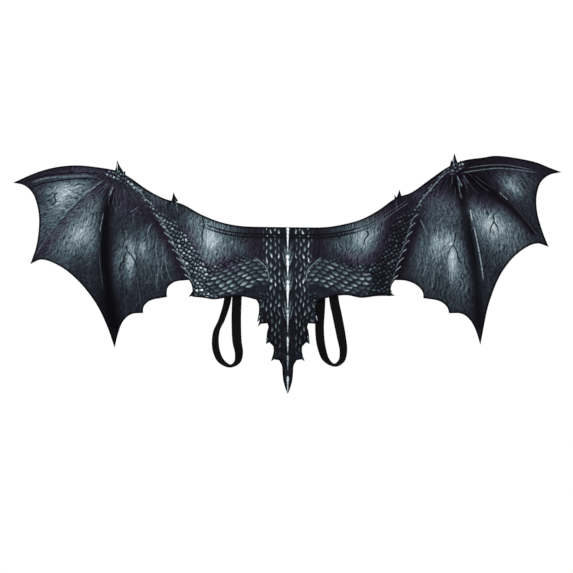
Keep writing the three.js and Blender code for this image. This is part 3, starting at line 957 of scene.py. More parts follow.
# Half the width of the column of long scales, and their tone, each by the depth below the nape
WAIST_HALVES = ((0, 68), (80, 64), (130, 51), (170, 57), (200, 68))
PLATE_TONES = ((0, 0.58), (60, 0.7), (160, 0.62), (230, 0.42), (330, 0.27))
# Grain of the skin in each bay between two fingers, counted from the leading edge: its turn in degrees
BAY_GRAIN = {Side.LEFT: (-62, -14, -4, 3), Side.RIGHT: (50, 12, 6, -3)}


@dataclass
class PrintLayout:
    """The drawing on the sheet, worked out for any points of its front.

    The tables are stretched from the sheet that they were drawn on to the frame's.
    """

    half_span: float
    drop: float
    skin_level: float = 0.131
    head_glow: float = 0.3
    hair_seed: int = 5
    hair_count: int = 18
    fringe_count: int = 13
    jitter: float = 0.4
    hair_bow: float = 4
    hair_fan: Spot = (-60, 118)
    hair_start: Spot = (24, 60)
    hair_length: Spot = (28, 80)
    hair_tone: Spot = (0.2, 0.34)
    fringe_fan: Spot = (0.14, 0.8)
    fringe_start: Spot = (0.45, 0.72)
    fringe_length: Spot = (60, 110)
    fringe_bend: float = 30
    row_pitch: float = 10.8
    oval_length: float = 20
    shoulder_rise: float = 44
    line_reach: float = 4.0
    slit_start: float = 16
    slit_sag: float = 6
    slit_halves: Sequence[float] = (7, 5.5, 2)
    dusk_level: float = 0.12
    spine_shade: float = 0.25
    head_rise: float = 6
    head_half: float = 24
    far_rim: float = 30
    bay_offset: float = 900
    # Rows of the hem's stitches, along which painted shade darkens the print
    stitch_rows: Sequence[np.ndarray] = ()
    stretch: np.ndarray = field(init=False)

    def __post_init__(self) -> None:
        """Works out how much the drawing is stretched."""
        self.stretch = np.array([self.half_span / DRAWN_HALF_SPAN, self.drop / DRAWN_DROP])

    def lines(self) -> list[tuple[Line, np.ndarray]]:
        """Every pale line with its curve, the spindles, spurs and feathers among them."""
        drawn = [*PALE_LINES]
        drawn += [Line(row.name, row.tone, row.width, row.path, Ends.POINTED) for row in TIP_LIGHTS]
        for row in SPINDLES:
            top = row.top
            drawn.append(Line("spindle", row.tone, row.width, ((0, top), (0, row.point)), Ends.SPINDLE))
            if row.glow > 0.5:
                for side in Side:
                    for out, rise in FEATHER_TIPS:
                        feather = tuple((side.value * out * share, top + rise - fall)
                                        for share, fall in FEATHER_STEPS)
                        drawn.append(Line("feather", 0.36, 2.0, feather))
        drawn += self.hairs()
        for row in SPURS.values():
            for number in range(row.count):
                share = number / (row.count - 1)
                root = np.add(row.first, np.subtract(row.last, row.first) * share)
                bend = root + np.multiply(row.reach, row.bend)
                drawn.append(Line("spur", row.tone, row.width, (root, bend, root + row.reach), Ends.SPINDLE))
        return [(row, self.curve(row.path)) for row in drawn]

    def hairs(self) -> list[Line]:
        """Fine scratches that fan out of each wrist, the same on every run."""
        chance = np.random.default_rng(self.hair_seed)
        drawn = []
        bow = self.hair_bow
        for side in Side:
            wrist, tip = (np.asarray(FINGER_ENDS[side][n], float) for n in (0, 3))
            for number in range(self.hair_count):
                place = number + chance.uniform(-self.jitter, self.jitter)
                turn = math.radians(self.hair_fan[0] + self.hair_fan[1] * place / self.hair_count)
                down = (tip - wrist) / np.linalg.norm(tip - wrist)
                way = np.array([down[0] * math.cos(turn) - down[1] * math.sin(turn),
                                down[0] * math.sin(turn) + down[1] * math.cos(turn)])
                start, length = chance.uniform(*self.hair_start), chance.uniform(*self.hair_length)
                across = np.array([-way[1], way[0]]) * chance.uniform(-bow, bow)
                path = (wrist + way * start, wrist + way * (start + length / 2) + across,
                        wrist + way * (start + length))
                drawn.append(Line("scratch", chance.uniform(*self.hair_tone), 0.9, path))
            for number in range(self.fringe_count):
                place = number + chance.uniform(-self.jitter, self.jitter)
                spread = self.fringe_fan[0] + self.fringe_fan[1] * place / self.fringe_count
                foot = tip + (np.asarray(FINGER_ENDS[side][6], float) - tip) * spread
                down = (foot - wrist) / np.linalg.norm(foot - wrist)
                start = wrist + down * np.linalg.norm(foot - wrist) * chance.uniform(*self.fringe_start)
                path = (start, start + down * self.fringe_bend + chance.uniform(-bow, bow, 2),
                        start + down * chance.uniform(*self.fringe_length))
                drawn.append(Line("fringe", chance.uniform(*self.hair_tone), 1.0, path))
        return drawn

    def curve(self, path: Sequence[Spot]) -> np.ndarray:
        """A drawn path as points on this sheet."""
        return curve_through(np.asarray(path, float) * self.stretch, 4.0)

    def guides(self) -> list[np.ndarray]:
        """The curves that the sheet's mesh keeps as edges, so that thin lines stay sharp."""
        return [curve for _, curve in self.lines()] + [self.curve(row.path) for row in DARK_LINES]

    def levels(self, spots: np.ndarray) -> dict[str, np.ndarray]:
        """How light the skin is at each point, and how much purple it holds.

        Args:
            spots: Points of the front.

        Returns:
            The numbers level and dusk.
        """
        level = np.full(len(spots), self.skin_level)
        for row in GLOWS:
            offset = spots - np.asarray(row.centre) * self.stretch
            turn = math.radians(row.turn)
            along = offset @ (math.cos(turn), math.sin(turn))
            across = offset @ (-math.sin(turn), math.cos(turn))
            level += row.tone * np.exp(-((along / row.long) ** 2) - (across / row.wide) ** 2)
        dusk = np.full(len(spots), self.dusk_level)
        for row in DUSKS:
            near = nearness(self.curve(row.path), spots)
            fade = np.exp(-((near.gap / row.width) ** 2))
            level *= 1 - row.depth * fade
            dusk += (row.purple - dusk) * fade
        out = np.abs(spots[:, 0])
        level *= 1 - self.spine_shade * smooth(out, 26, 14)
        for row in SPINDLES:
            height = (spots[:, 1] - (row.top + self.head_rise) * self.stretch[1]) / self.head_half
            glow = np.exp(-np.abs(height) ** 2.2 - (out / (7 + 5 * np.clip(height, 0, 1))) ** 2)
            level += self.head_glow * row.glow * glow
        return {"level": level, "dusk": dusk}

    def drawn_lines(self, spots: np.ndarray) -> dict[str, np.ndarray]:
        """The nearest pale and dark line at each point, with its gap in half widths; the dark lines include
        painted shade along the hem's stitch rows.

        Args:
            spots: Points of the front.

        Returns:
            The numbers pale_gap, pale_tone, dark_gap and dark_depth.
        """
        made = {"pale_gap": np.full(len(spots), self.line_reach), "pale_tone": np.zeros(len(spots)),
                "dark_gap": np.full(len(spots), self.line_reach), "dark_depth": np.zeros(len(spots))}
        dark = [(row, self.curve(row.path)) for row in DARK_LINES]
        # Painted shade: each row of the hem's stitches darkens the print along the groove that it pulls
        dark += [(Line("stitch groove", 0.88, 3.2, ()), row) for row in self.stitch_rows]
        for row in SPINDLES:
            middle = (row.top + row.point) / 2 - self.slit_sag
            for side in Side:
                heights = (row.top - self.slit_start, middle, row.point)
                slit = tuple((side.value * half, z) for half, z in zip(self.slit_halves, heights))
                dark.append((Line("slit", 0.7, 2.4, slit), self.curve(slit)))
        for kind, tone_name, rows in (("pale_gap", "pale_tone", self.lines()),
                                      ("dark_gap", "dark_depth", dark)):
            for row, curve in rows:
                reach = self.line_reach * row.width
                low, high = curve.min(0) - reach, curve.max(0) + reach
                close = np.flatnonzero(np.all((spots > low) & (spots < high), axis=1))
                near = nearness(curve, spots[close])
                if row.ends is not Ends.FADED:
                    body = np.clip(1.06 - near.along, 0.05, 1) ** 0.9
                    if row.ends is Ends.SPINDLE:
                        body *= smooth(near.along, -0.08, 0.1)
                    tone = np.full(len(close), row.tone)
                else:
                    body = np.ones(len(close))
                    tone = row.tone * smooth(near.along, -0.02, 0.14) * smooth(near.along, 1.02, 0.8)
                gap = near.gap / (row.width * body)
                better = gap < made[kind][close]
                made[kind][close[better]] = gap[better]
                made[tone_name][close[better]] = tone[better]
        return made

    def fields(self, spots: np.ndarray) -> dict[str, np.ndarray]:
        """Where each kind of scale lies, how light it is, and the rows of the long ones.

        Args:
            spots: Points of the front.

        Returns:
            The numbers pebble, oval, plate and scale_level, and the vector rows.
        """
        made = {name: np.zeros(len(spots)) for name in ("pebble", "oval", "plate")}
        level = np.full(len(spots), 0.5)
        rows = np.zeros((len(spots), 3))
        for kind, strips in (("pebble", PEBBLE_FIELDS), ("oval", OVAL_FIELDS)):
            for strip in strips:
                curve = curve_through(np.asarray(strip.path, float) * (*self.stretch, 1), 6.0)
                near = nearness(curve[:, :2], spots)
                shares = np.linspace(0, 1, len(curve))
                half = np.interp(near.along, shares, curve[:, 2])
                mask = smooth(half - near.gap, -6, 6)
                stronger = mask > made[kind]
                made[kind] = np.maximum(made[kind], mask)
                level = np.where(stronger, strip.tone, level)
        out = np.abs(spots[:, 0])
        depth = -spots[:, 1]
        # The rows of long scales rise from the elbow to the spine
        rows[:, 0] = (depth + self.shoulder_rise * smooth(out, 210, 60)) / self.row_pitch
        rows[:, 1] = out / self.oval_length
        waist = np.interp(depth, *zip(*WAIST_HALVES))
        column = smooth(out, 16, 22) * smooth(waist - out, -1, 6) * smooth(depth, -8, 2)
        column *= 1 - smooth(depth, 300, 345)
        made["plate"] = column
        on_plates = column > 0.5
        level[on_plates] = np.interp(depth[on_plates], *zip(*PLATE_TONES))
        return {**made, "scale_level": level, "rows": rows}

    def grain(self, spots: np.ndarray) -> np.ndarray:
        """Coordinates across and along the grain of the skin, in millimetres.

        Args:
            spots: Points of the front.

        Returns:
            A vector for each point.
        """
        made = np.zeros((len(spots), 3))
        for side in Side:
            here = np.flatnonzero(spots[:, 0] * side.value > 0)
            wrist, *ends = np.asarray(FINGER_ENDS[side], float) * self.stretch
            offset = spots[here] - wrist
            sweep = self.sweep(offset, side)
            bounds = [self.sweep((end - wrist)[None], side)[0] for end in (ends[1], ends[2], ends[6])]
            bay = np.searchsorted(bounds, sweep)
            turn = np.radians(np.asarray(BAY_GRAIN[side])[bay])
            made[here, 0] = offset[:, 0] * np.cos(turn) + offset[:, 1] * np.sin(turn) + self.bay_offset * bay
            made[here, 1] = offset[:, 1] * np.cos(turn) - offset[:, 0] * np.sin(turn)
        return made

    @staticmethod
    def sweep(offset: np.ndarray, side: Side) -> np.ndarray:
        """The angle round the wrist from straight out to the side, through down."""
        return np.arctan2(-offset[:, 1], side.value * offset[:, 0]) % math.tau

    def attributes(self, spots: np.ndarray, rim: np.ndarray) -> dict[str, np.ndarray]:
        """Everything that the printed finish reads.

        Args:
            spots: Points of the front, in millimetres.
            rim: Their distance to the cut edge.

        Returns:
            Numbers and vectors by attribute name.
        """
        return {**self.levels(spots), **self.drawn_lines(spots), **self.fields(spots),
                "grain": self.grain(spots), "rim": np.minimum(rim, self.far_rim)}


@dataclass
class Relief:
    """How the hanging sheet billows: the depth of its middle behind the flat back panel, in millimetres."""

    half_span: float = 710
    drop: float = 314
    panel_half: float = 176.5
    panel_blend: float = 150
    billow: float = 9
    billow_reach: float = 46
    sweep_back: float = 20
    fold_depth: float = 4
    fold_pitch: float = 205
    ripple: float = 0.8
    ripple_across: float = 23
    ripple_down: float = 31
    ripple_bend: float = 41
    ripple_sway: float = 1.7
    ripple_start: float = 0.6

    def depth(self, spots: np.ndarray) -> np.ndarray:
        """The depth at many points.

        Args:
            spots: Points of the sheet.

        Returns:
            Depths in millimetres, larger away from the printed face.
        """
        made = np.zeros(len(spots))
        for side in Side:
            here = np.flatnonzero(spots[:, 0] * side.value > self.panel_half)
            at = spots[here]
            outward = np.abs(at[:, 0]) - self.panel_half
            wrist, *ends = np.asarray(FINGER_ENDS[side], float)
            elbow, waist = ends[-2], ends[-1]
            shoulder = np.array([side.value * self.panel_half, waist[1]])
            fingers = [(wrist, end) for end in ends[:-1]] + [(elbow, shoulder)]
            near = np.min([nearness(np.array(finger), at).gap for finger in fingers], axis=0)
            loose = smooth(outward, 0, self.panel_blend)
            billow = self.billow * (1 - np.exp(-((near / self.billow_reach) ** 2)))
            sweep = self.sweep_back * (outward / (self.half_span - self.panel_half)) ** 2
            low = smooth(-at[:, 1] / self.drop, -0.4, 1)
            fold = self.fold_depth * low * np.sin(math.tau * outward / self.fold_pitch)
            made[here] = loose * (billow + fold) + sweep
        sway = np.sin(spots[:, 1] / self.ripple_bend) * self.ripple_sway
        waves = np.sin(spots[:, 0] / self.ripple_across + sway)
        waves *= np.sin(spots[:, 1] / self.ripple_down + self.ripple_start)
        return made + self.ripple * waves * smooth(np.abs(spots[:, 0]), 150, 330)


def outline_of(node: str) -> np.ndarray:
    """The outline of a CAD sheet's front face.

    Args:
        node: Name of the CAD node.

    Returns:
        Its corners in order, in millimetres, with the points on straight stretches left out.
    """
    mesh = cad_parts[node].data
    corners = np.array([v.co for v in mesh.vertices]) / MM
    faces = np.array([tuple(p.vertices) for p in mesh.polygons])
    first, second, third = (corners[faces[:, number]] for number in range(3))
    normals = np.cross(second - first, third - first)
    front = faces[normals[:, 1] < -0.5 * np.linalg.norm(normals, axis=1)]
    unique, merged = np.unique(np.round(corners * 100).astype(int), axis=0, return_inverse=True)
    pairs = {(int(a), int(b)) for face in merged.reshape(-1)[front] for a, b in zip(face, np.roll(face, -1))}
    following = {a: b for a, b in pairs if (b, a) not in pairs}
    walk = [min(following)]
    while following[walk[-1]] != walk[0]:
        walk.append(following[walk[-1]])
    loop = unique[walk][:, [0, 2]] / 100
    return loop[bends(loop) > math.radians(0.6)]


def bends(loop: np.ndarray) -> np.ndarray:
    """How sharply a closed outline turns at each of its points, in radians."""
    before = loop - np.roll(loop, 1, 0)
    after = np.roll(loop, -1, 0) - loop
    turn = np.arctan2(after[:, 1], after[:, 0]) - np.arctan2(before[:, 1], before[:, 0])
    return np.abs((turn + math.pi) % math.tau - math.pi)


def rounded(loop: np.ndarray, step: float, corner: float = 30) -> np.ndarray:
    """An outline with its straight pieces turned into curves between its sharp corners.

    Args:
        loop: Corners of the outline.
        step: Longest piece of the result.
        corner: Turn in degrees from which a point stays sharp.

    Returns:
        Points of the finer outline.
    """
    sharp = np.flatnonzero(bends(loop) > math.radians(corner))
    ring = np.roll(loop, -sharp[0], 0)
    sharp = [*(sharp - sharp[0]), len(ring)]
    ring = np.vstack((ring, ring[:1]))
    runs = [curve_through(ring[a:b + 1], step)[:-1] for a, b in zip(sharp, sharp[1:])]
    return np.vstack(runs)


@dataclass
class FeltSheet:
    """A piece of felt cut to a CAD node's outline, that follows the relief of the hanging sheet."""

    name: str
    node: str
    front: float
    thickness: float
    front_step: float
    rear_step: float
    edge_step: float = 3.0
    groove: float = 0.6
    groove_width: float = 1.5
    relief: Relief = field(default_factory=Relief)
    outline: np.ndarray = field(init=False)

    def __post_init__(self) -> None:
        """Reads the outline from the frame."""
        self.outline = rounded(outline_of(self.node), self.edge_step)

    def fill(self, step: float, guides: Sequence[np.ndarray]) -> tuple[np.ndarray, np.ndarray]:
        """Fills the outline with even triangles.

        Args:
            step: Length of a triangle's side.
            guides: Curves that stay edges of the mesh.

        Returns:
            Points, with the outline's first and in order, and triangles.
        """
        low, high = self.outline.min(0), self.outline.max(0)
        columns = np.arange(low[0], high[0], step)
        rows = np.arange(low[1], high[1], step * math.sqrt(0.75))
        grid = np.array([(x + (step / 2 if n % 2 else 0), z) for n, z in enumerate(rows) for x in columns])
        fixed = [self.outline]
        edges = [(n, (n + 1) % len(self.outline)) for n in range(len(self.outline))]
        count = len(self.outline)
        for guide in guides:
            kept = inside(self.outline, guide) & (near_any(self.outline, guide)[0] > 0.8)
            numbers = np.where(kept, count + np.cumsum(kept) - 1, -1)
            edges += [(int(a), int(b)) for a, b in zip(numbers, numbers[1:]) if a >= 0 and b >= 0]
            fixed.append(guide[kept])
            count += int(kept.sum())
        fixed_points = np.vstack(fixed)
        grid = grid[inside(self.outline, grid)]
        grid = grid[near_any(fixed_points, grid)[0] > 0.55 * step]
        points = [Vector(p) for p in np.vstack((fixed_points, grid))]
        rim = list(range(len(self.outline)))
        made = delaunay_2d_cdt(points, edges, [rim], 1, 1e-6)
        return np.array([tuple(p) for p in made[0]]), np.array([tuple(f) for f in made[2]])

    def edge_gap(self, spots: np.ndarray) -> np.ndarray:
        """Distance of points to the cut edge.

        Args:
            spots: Points of the sheet.

        Returns:
            Distances in millimetres.
        """
        _, nearest = near_any(self.outline, spots)
        here = self.outline[nearest]
        found = np.full(len(spots), 1e9)
        for shift in (1, -1):
            other = np.roll(self.outline, shift, 0)[nearest]
            run = other - here
            square = np.maximum(np.einsum("ij,ij->i", run, run), 1e-9)
            share = np.einsum("ij,ij->i", spots - here, run) / square
            foot = here + run * np.clip(share, 0, 1)[:, None]
            found = np.minimum(found, np.linalg.norm(spots - foot, axis=1))
        return found

    def build(self, finishes: Sequence[bpy.types.Material], rows: Sequence[np.ndarray] = (),
              layout: PrintLayout | None = None) -> bpy.types.Object:
        """Makes the closed sheet and dresses it.

        Args:
            finishes: Materials of its front, its rear and its cut edge.
            rows: Rows of stitches, which pull a groove into its front.
            layout: The print on its front, if it has one.

        Returns:
            The finished piece, not yet riding on a body.
        """
        guides = [*rows, *(layout.guides() if layout else ())]
        front, front_faces = self.fill(self.front_step, guides)
        rear, rear_faces = self.fill(self.rear_step, ())
        rim = len(self.outline)
        depth = self.relief.depth(front) + self.front
        for row in rows:
            depth += self.groove * np.exp(-((nearness(row, front).gap / self.groove_width) ** 2))
        front_points = np.column_stack((front[:, 0], depth, front[:, 1]))
        rear_depth = self.relief.depth(rear) + self.front + self.thickness
        rear_points = np.column_stack((rear[:, 0], rear_depth, rear[:, 1]))
        first_rear = len(front)
        near, far = np.arange(rim), np.arange(rim) + first_rear
        following = np.roll(np.arange(rim), -1)
        # The outline runs so that a front triangle faces forwards; the edge strip closes the two sides
        strip = np.column_stack((near, far, far[following], near[following]))
        faces = [*facing(front, front_faces, -1), *(facing(rear, rear_faces, 1) + first_rear)]
        strip_faces = strip if signed_area(self.outline) > 0 else strip[:, ::-1]
        mesh = bpy.data.meshes.new(self.name)
        mesh.from_pydata(np.vstack((front_points, rear_points)) * MM, [], [*faces, *strip_faces.tolist()])
        for finish in finishes:
            mesh.materials.append(finish)
        slots = [0] * len(front_faces) + [1] * len(rear_faces) + [2] * rim
        mesh.polygons.foreach_set("material_index", slots)
        mesh.polygons.foreach_set("use_smooth", [True] * len(slots))
        mesh.set_sharp_from_angle(angle=math.radians(50))
        if layout:
            for name, values in layout.attributes(front, self.edge_gap(front)).items():
                kind, key = ("FLOAT_VECTOR", "vector") if values.ndim == 2 else ("FLOAT", "value")
                width = 3 if values.ndim == 2 else 1
                whole = np.zeros((len(mesh.vertices), width), np.float32)
                whole[:len(front)] = values.reshape(len(front), width)
                mesh.attributes.new(name, kind, "POINT").data.foreach_set(key, whole.ravel())
        mesh.update()
        piece = placed(self.name, mesh)
        LOG.info("%s: %d faces, %.3f square metres", self.name, len(mesh.polygons), self.area())
        return piece

    def area(self) -> float:
        """Flat area of the cut piece in square metres."""
        return abs(signed_area(self.outline)) * MM * MM


def signed_area(loop: np.ndarray) -> float:
    """Area within an outline, positive if it runs anticlockwise as seen from the front."""
    following = np.roll(loop, -1, 0)
    return float((loop[:, 0] * following[:, 1] - loop[:, 1] * following[:, 0]).sum() / 2)


def facing(points: np.ndarray, faces: np.ndarray, way: int) -> np.ndarray:
    """Triangles turned so that all face the same way along Y.

    Args:
        points: Flat points of the sheet.
        faces: Triangles between them.
        way: -1 for the printed side, 1 for the wearer's.

    Returns:
        The triangles.
    """
    a, b, c = (points[faces[:, n]] for n in range(3))
    turn = (b[:, 0] - a[:, 0]) * (c[:, 1] - a[:, 1]) - (b[:, 1] - a[:, 1]) * (c[:, 0] - a[:, 0])
    wrong = (turn > 0) != (way < 0)
    turned = faces.copy()
    turned[wrong] = turned[wrong][:, ::-1]
    return turned


@dataclass(frozen=True)
class Stage:
    """One place on an arm loop's route.

    Out is a share of the pitch of the two sewn ends, down of the loop's reach, back of the strap's width
    behind the hem. Turn is the angle in degrees of the strap's width from facing front.
    """

    out: float
    down: float
    back: float
    turn: float


LOOP_ROUTES = {
    Side.LEFT: (
        Stage(0.5, 0.016, 0, 0), Stage(0.5, 0.092, 0, 0), Stage(0.46, 0.34, 0.24, 12),
        Stage(0.41, 0.507, 0.42, 42), Stage(0.88, 0.654, 0.46, 48), Stage(1.37, 0.751, 0.48, 50),
        Stage(1.41, 0.869, 0.5, 46), Stage(1.0, 0.955, 0.52, 52), Stage(0.2, 0.995, 0.52, 84),
        Stage(-0.36, 0.965, 0.48, 126), Stage(-0.52, 0.905, 0.4, 148), Stage(-0.36, 0.816, 0.32, 166),
        Stage(-0.3, 0.651, 0.22, 177), Stage(-0.36, 0.493, 0.14, 180), Stage(-0.5, 0.092, 0, 180),
        Stage(-0.5, 0.016, 0, 180),
    ),
    Side.RIGHT: (
        Stage(0.5, 0.016, 0, 0), Stage(0.5, 0.092, 0, 0), Stage(0.53, 0.5, 0.14, 0),
        Stage(0.83, 0.636, 0.22, 0), Stage(1.14, 0.773, 0.34, 17), Stage(1.34, 0.887, 0.44, 40),
        Stage(1.17, 0.957, 0.5, 56), Stage(0.6, 0.989, 0.54, 84), Stage(-0.1, 0.948, 0.5, 130),
        Stage(-0.5, 0.855, 0.42, 150), Stage(-0.65, 0.73, 0.36, 156), Stage(-0.57, 0.586, 0.32, 158),
        Stage(-0.53, 0.493, 0.28, 160), Stage(-0.5, 0.343, 0.18, 170), Stage(-0.5, 0.092, 0, 180),
        Stage(-0.5, 0.016, 0, 180),
    ),
}
LOOP_OUT = {Side.LEFT: 142.5, Side.RIGHT: 102.5}


@dataclass
class ArmLoop:
    """One loop of flat ribbed elastic, sewn at both ends to the hem."""

    side: Side
    width: float = 25
    thickness: float = 1.6
    leg_pitch: float = 31
    reach: float = 361
    seat: float = 3.8
    step: float = 3
    lean: float = 16
    rib_count: int = 20
    rib_height: float = 0.09
    selvedge: float = 0.3
    edge_share: float = 0.22
    length: float = field(init=False, default=0.0)

    @property
    def node(self) -> str:
        """Name of the CAD solid that the loop stands for."""
        return f"{self.side.name.lower()}_strap"

    def route(self) -> tuple[np.ndarray, np.ndarray]:
        """The middle of the strap.

        Returns:
            Its points in millimetres, and its turn at each in radians.
        """
        stages = LOOP_ROUTES[self.side]
        middle = LOOP_OUT[self.side]
        knots = [(self.side.value * (middle + s.out * self.leg_pitch), self.seat + s.back * self.width,
                  -s.down * self.reach) for s in stages]
        rows = curve_through(knots, self.step)
        passed = [int(np.argmin(np.linalg.norm(rows - knot, axis=1))) for knot in knots]
        turns = np.interp(np.arange(len(rows)), passed, [math.radians(s.turn) for s in stages])
        soft = np.convolve(np.pad(turns, 4, "edge"), np.full(9, 1 / 9), "valid")
        return rows, soft

    def section(self) -> np.ndarray:
        """The strap's cross section: ribs on both faces and rounded edges, in millimetres."""
        across = np.linspace(-1, 1, 4 * self.rib_count + 1) * (self.width / 2 - self.selvedge)
        ribs = self.rib_height * np.cos(np.linspace(0, math.tau * self.rib_count, len(across)))
        face = np.column_stack((across, self.thickness / 2 - self.rib_height + ribs))
        edge, corner = self.width / 2, self.thickness * self.edge_share
        round_edge = np.array([[edge, corner], [edge, -corner]])
        back = -face
        return np.vstack((face, round_edge, back, -round_edge))

    def build(self, finish: bpy.types.Material) -> bpy.types.Object:
        """Sweeps the section along the route.

        Args:
            finish: Material of the elastic.

        Returns:
            The finished piece, not yet riding on a body.
        """
        route, turns = self.route()
        section = self.section()
        along = np.gradient(route, axis=0)
        along /= np.linalg.norm(along, axis=1)[:, None]
        lean = math.radians(self.lean)
        sideways = -self.side.value * np.sin(turns)
        across = np.column_stack((np.cos(turns), sideways * math.cos(lean), sideways * math.sin(lean)))
        across -= along * np.einsum("ij,ij->i", across, along)[:, None]
        across /= np.linalg.norm(across, axis=1)[:, None]
        face = np.cross(along, across)
        points = (route[:, None] + across[:, None] * section[None, :, :1]
                  + face[:, None] * section[None, :, 1:])
        rings, corners = len(route), len(section)
        number = np.arange(rings * corners).reshape(rings, corners)
        turned = np.roll(number, -1, 1)
        walls = np.stack((number[:-1], number[1:], turned[1:], turned[:-1]), -1).reshape(-1, 4).tolist()
        caps = [number[0].tolist(), number[-1][::-1].tolist()]
        name = f"{self.side.name.lower()}_arm_loop"
        mesh = bpy.data.meshes.new(name)
        mesh.from_pydata(points.reshape(-1, 3) * MM, [], [*walls, *caps])
        mesh.polygons.foreach_set("use_smooth", [True] * len(mesh.polygons))
        mesh.set_sharp_from_angle(angle=math.radians(60))
        travelled = np.concatenate(([0], np.cumsum(np.linalg.norm(np.diff(route, axis=0), axis=1))))
        weave = np.zeros((rings, corners, 3), np.float32)
        weave[:, :, 0] = section[:, 0] + self.width
        weave[:, :, 1] = travelled[:, None]
        mesh.attributes.new("weave", "FLOAT_VECTOR", "POINT").data.foreach_set("vector", weave.ravel())
        mesh.materials.append(finish)
        mesh.update()
        piece = placed(name, mesh)
        self.length = float(travelled[-1])
        LOG.info("%s: %d faces, %.0f mm of elastic", name, len(mesh.polygons), self.length)
        return piece


@dataclass
class Stitching:
    """Rows of stitches: one bead of thread for each stitch, laid along drawn rows by Geometry Nodes."""

    name: str
    pitch: float
    stitch: float
    thread: float
    seed: int = 7

    def tree(self) -> tuple[bpy.types.NodeTree, dict[str, str]]:
        """The node group that lays the stitches.

        Returns:
            The group, and the identifier of each named input.
        """
        group = bpy.data.node_groups.new(f"{self.name}_stitches", "GeometryNodeTree")
        wanted = {"Rows": "Geometry", "Pitch": "Float", "Stitch": "Float", "Thread": "Float",
                  "Seed": "Int", "Finish": "Material"}
        sockets = {name: group.interface.new_socket(name=name, in_out="INPUT",
                                                    socket_type=f"NodeSocket{kind}")
                   for name, kind in wanted.items()}
        group.interface.new_socket(name="Geometry", in_out="OUTPUT", socket_type="NodeSocketGeometry")
        bench = Bench(group)
        given = bench.add("NodeGroupInput").outputs
        curves = bench.add("GeometryNodeMeshToCurve", None, {"Mesh": given["Rows"]})
        spots = bench.add("GeometryNodeCurveToPoints", {"mode": "LENGTH"},
                          {"Curve": curves.outputs["Curve"], "Length": given["Pitch"]})
        bead = bench.add("GeometryNodeMeshUVSphere", None, {"Segments": 7, "Rings": 6, "Radius": 0.5})
        size = bench.add("ShaderNodeCombineXYZ", None,
                         {"X": given["Thread"], "Y": given["Thread"], "Z": given["Stitch"]})
        long_bead = bench.add("GeometryNodeTransform", None,
                              {"Geometry": bead.outputs["Mesh"], "Scale": size.outputs[0]})
        chance = bench.add("FunctionNodeRandomValue", {"data_type": "FLOAT_VECTOR"},
                           {"Min": (-0.09, -0.09, -0.09), "Max": (0.09, 0.09, 0.09), "Seed": given["Seed"]})
        turn = bench.add("FunctionNodeEulerToRotation", None, {0: chance.outputs["Value"]})
        rotation = bench.add("FunctionNodeRotateRotation", {"rotation_space": "LOCAL"},
                             {"Rotation": spots.outputs["Rotation"], "Rotate By": turn.outputs[0]})
        laid = bench.add("GeometryNodeInstanceOnPoints", None,
                         {"Points": spots.outputs["Points"], "Instance": long_bead.outputs["Geometry"],
                          "Rotation": rotation.outputs[0]})
        smoothed = bench.add("GeometryNodeSetShadeSmooth", None, {"Geometry": laid.outputs["Instances"]})
        real = bench.add("GeometryNodeRealizeInstances", None, {"Geometry": smoothed.outputs["Geometry"]})
        dressed = bench.add("GeometryNodeSetMaterial", None,
                            {"Geometry": real.outputs["Geometry"], "Material": given["Finish"]})
        bench.add("NodeGroupOutput", None, {"Geometry": dressed.outputs["Geometry"]})
        return group, {name: socket.identifier for name, socket in sockets.items()}

    def build(self, rows: Sequence[np.ndarray], finish: bpy.types.Material) -> bpy.types.Object:
        """Lays stitches along rows and makes them one plain mesh.

        Args:
            rows: Points of each row in millimetres.
            finish: Material of the thread.

        Returns:
            The finished piece, not yet riding on a body.
        """
        mesh = bpy.data.meshes.new(f"{self.name}_rows")
        starts = np.cumsum([0, *map(len, rows)])
        edges = [(n, n + 1) for a, b in zip(starts, starts[1:]) for n in range(a, b - 1)]
        mesh.from_pydata(np.vstack(rows) * MM, edges, [])
        piece = placed(self.name, mesh)
        modifier = piece.modifiers.new("stitches", "NODES")
        modifier.node_group, names = self.tree()
        sizes = {"Pitch": self.pitch * MM, "Stitch": self.stitch * MM, "Thread": self.thread * MM}
        for name, value in {**sizes, "Seed": self.seed, "Finish": finish}.items():
            modifier[names[name]] = value
        depsgraph = bpy.context.evaluated_depsgraph_get()
        made = bpy.data.meshes.new_from_object(piece.evaluated_get(depsgraph), depsgraph=depsgraph)
        piece.modifiers.clear()
        piece.data = made
        made.name = self.name
        LOG.info("%s: %d faces", self.name, len(made.polygons))
        return piece


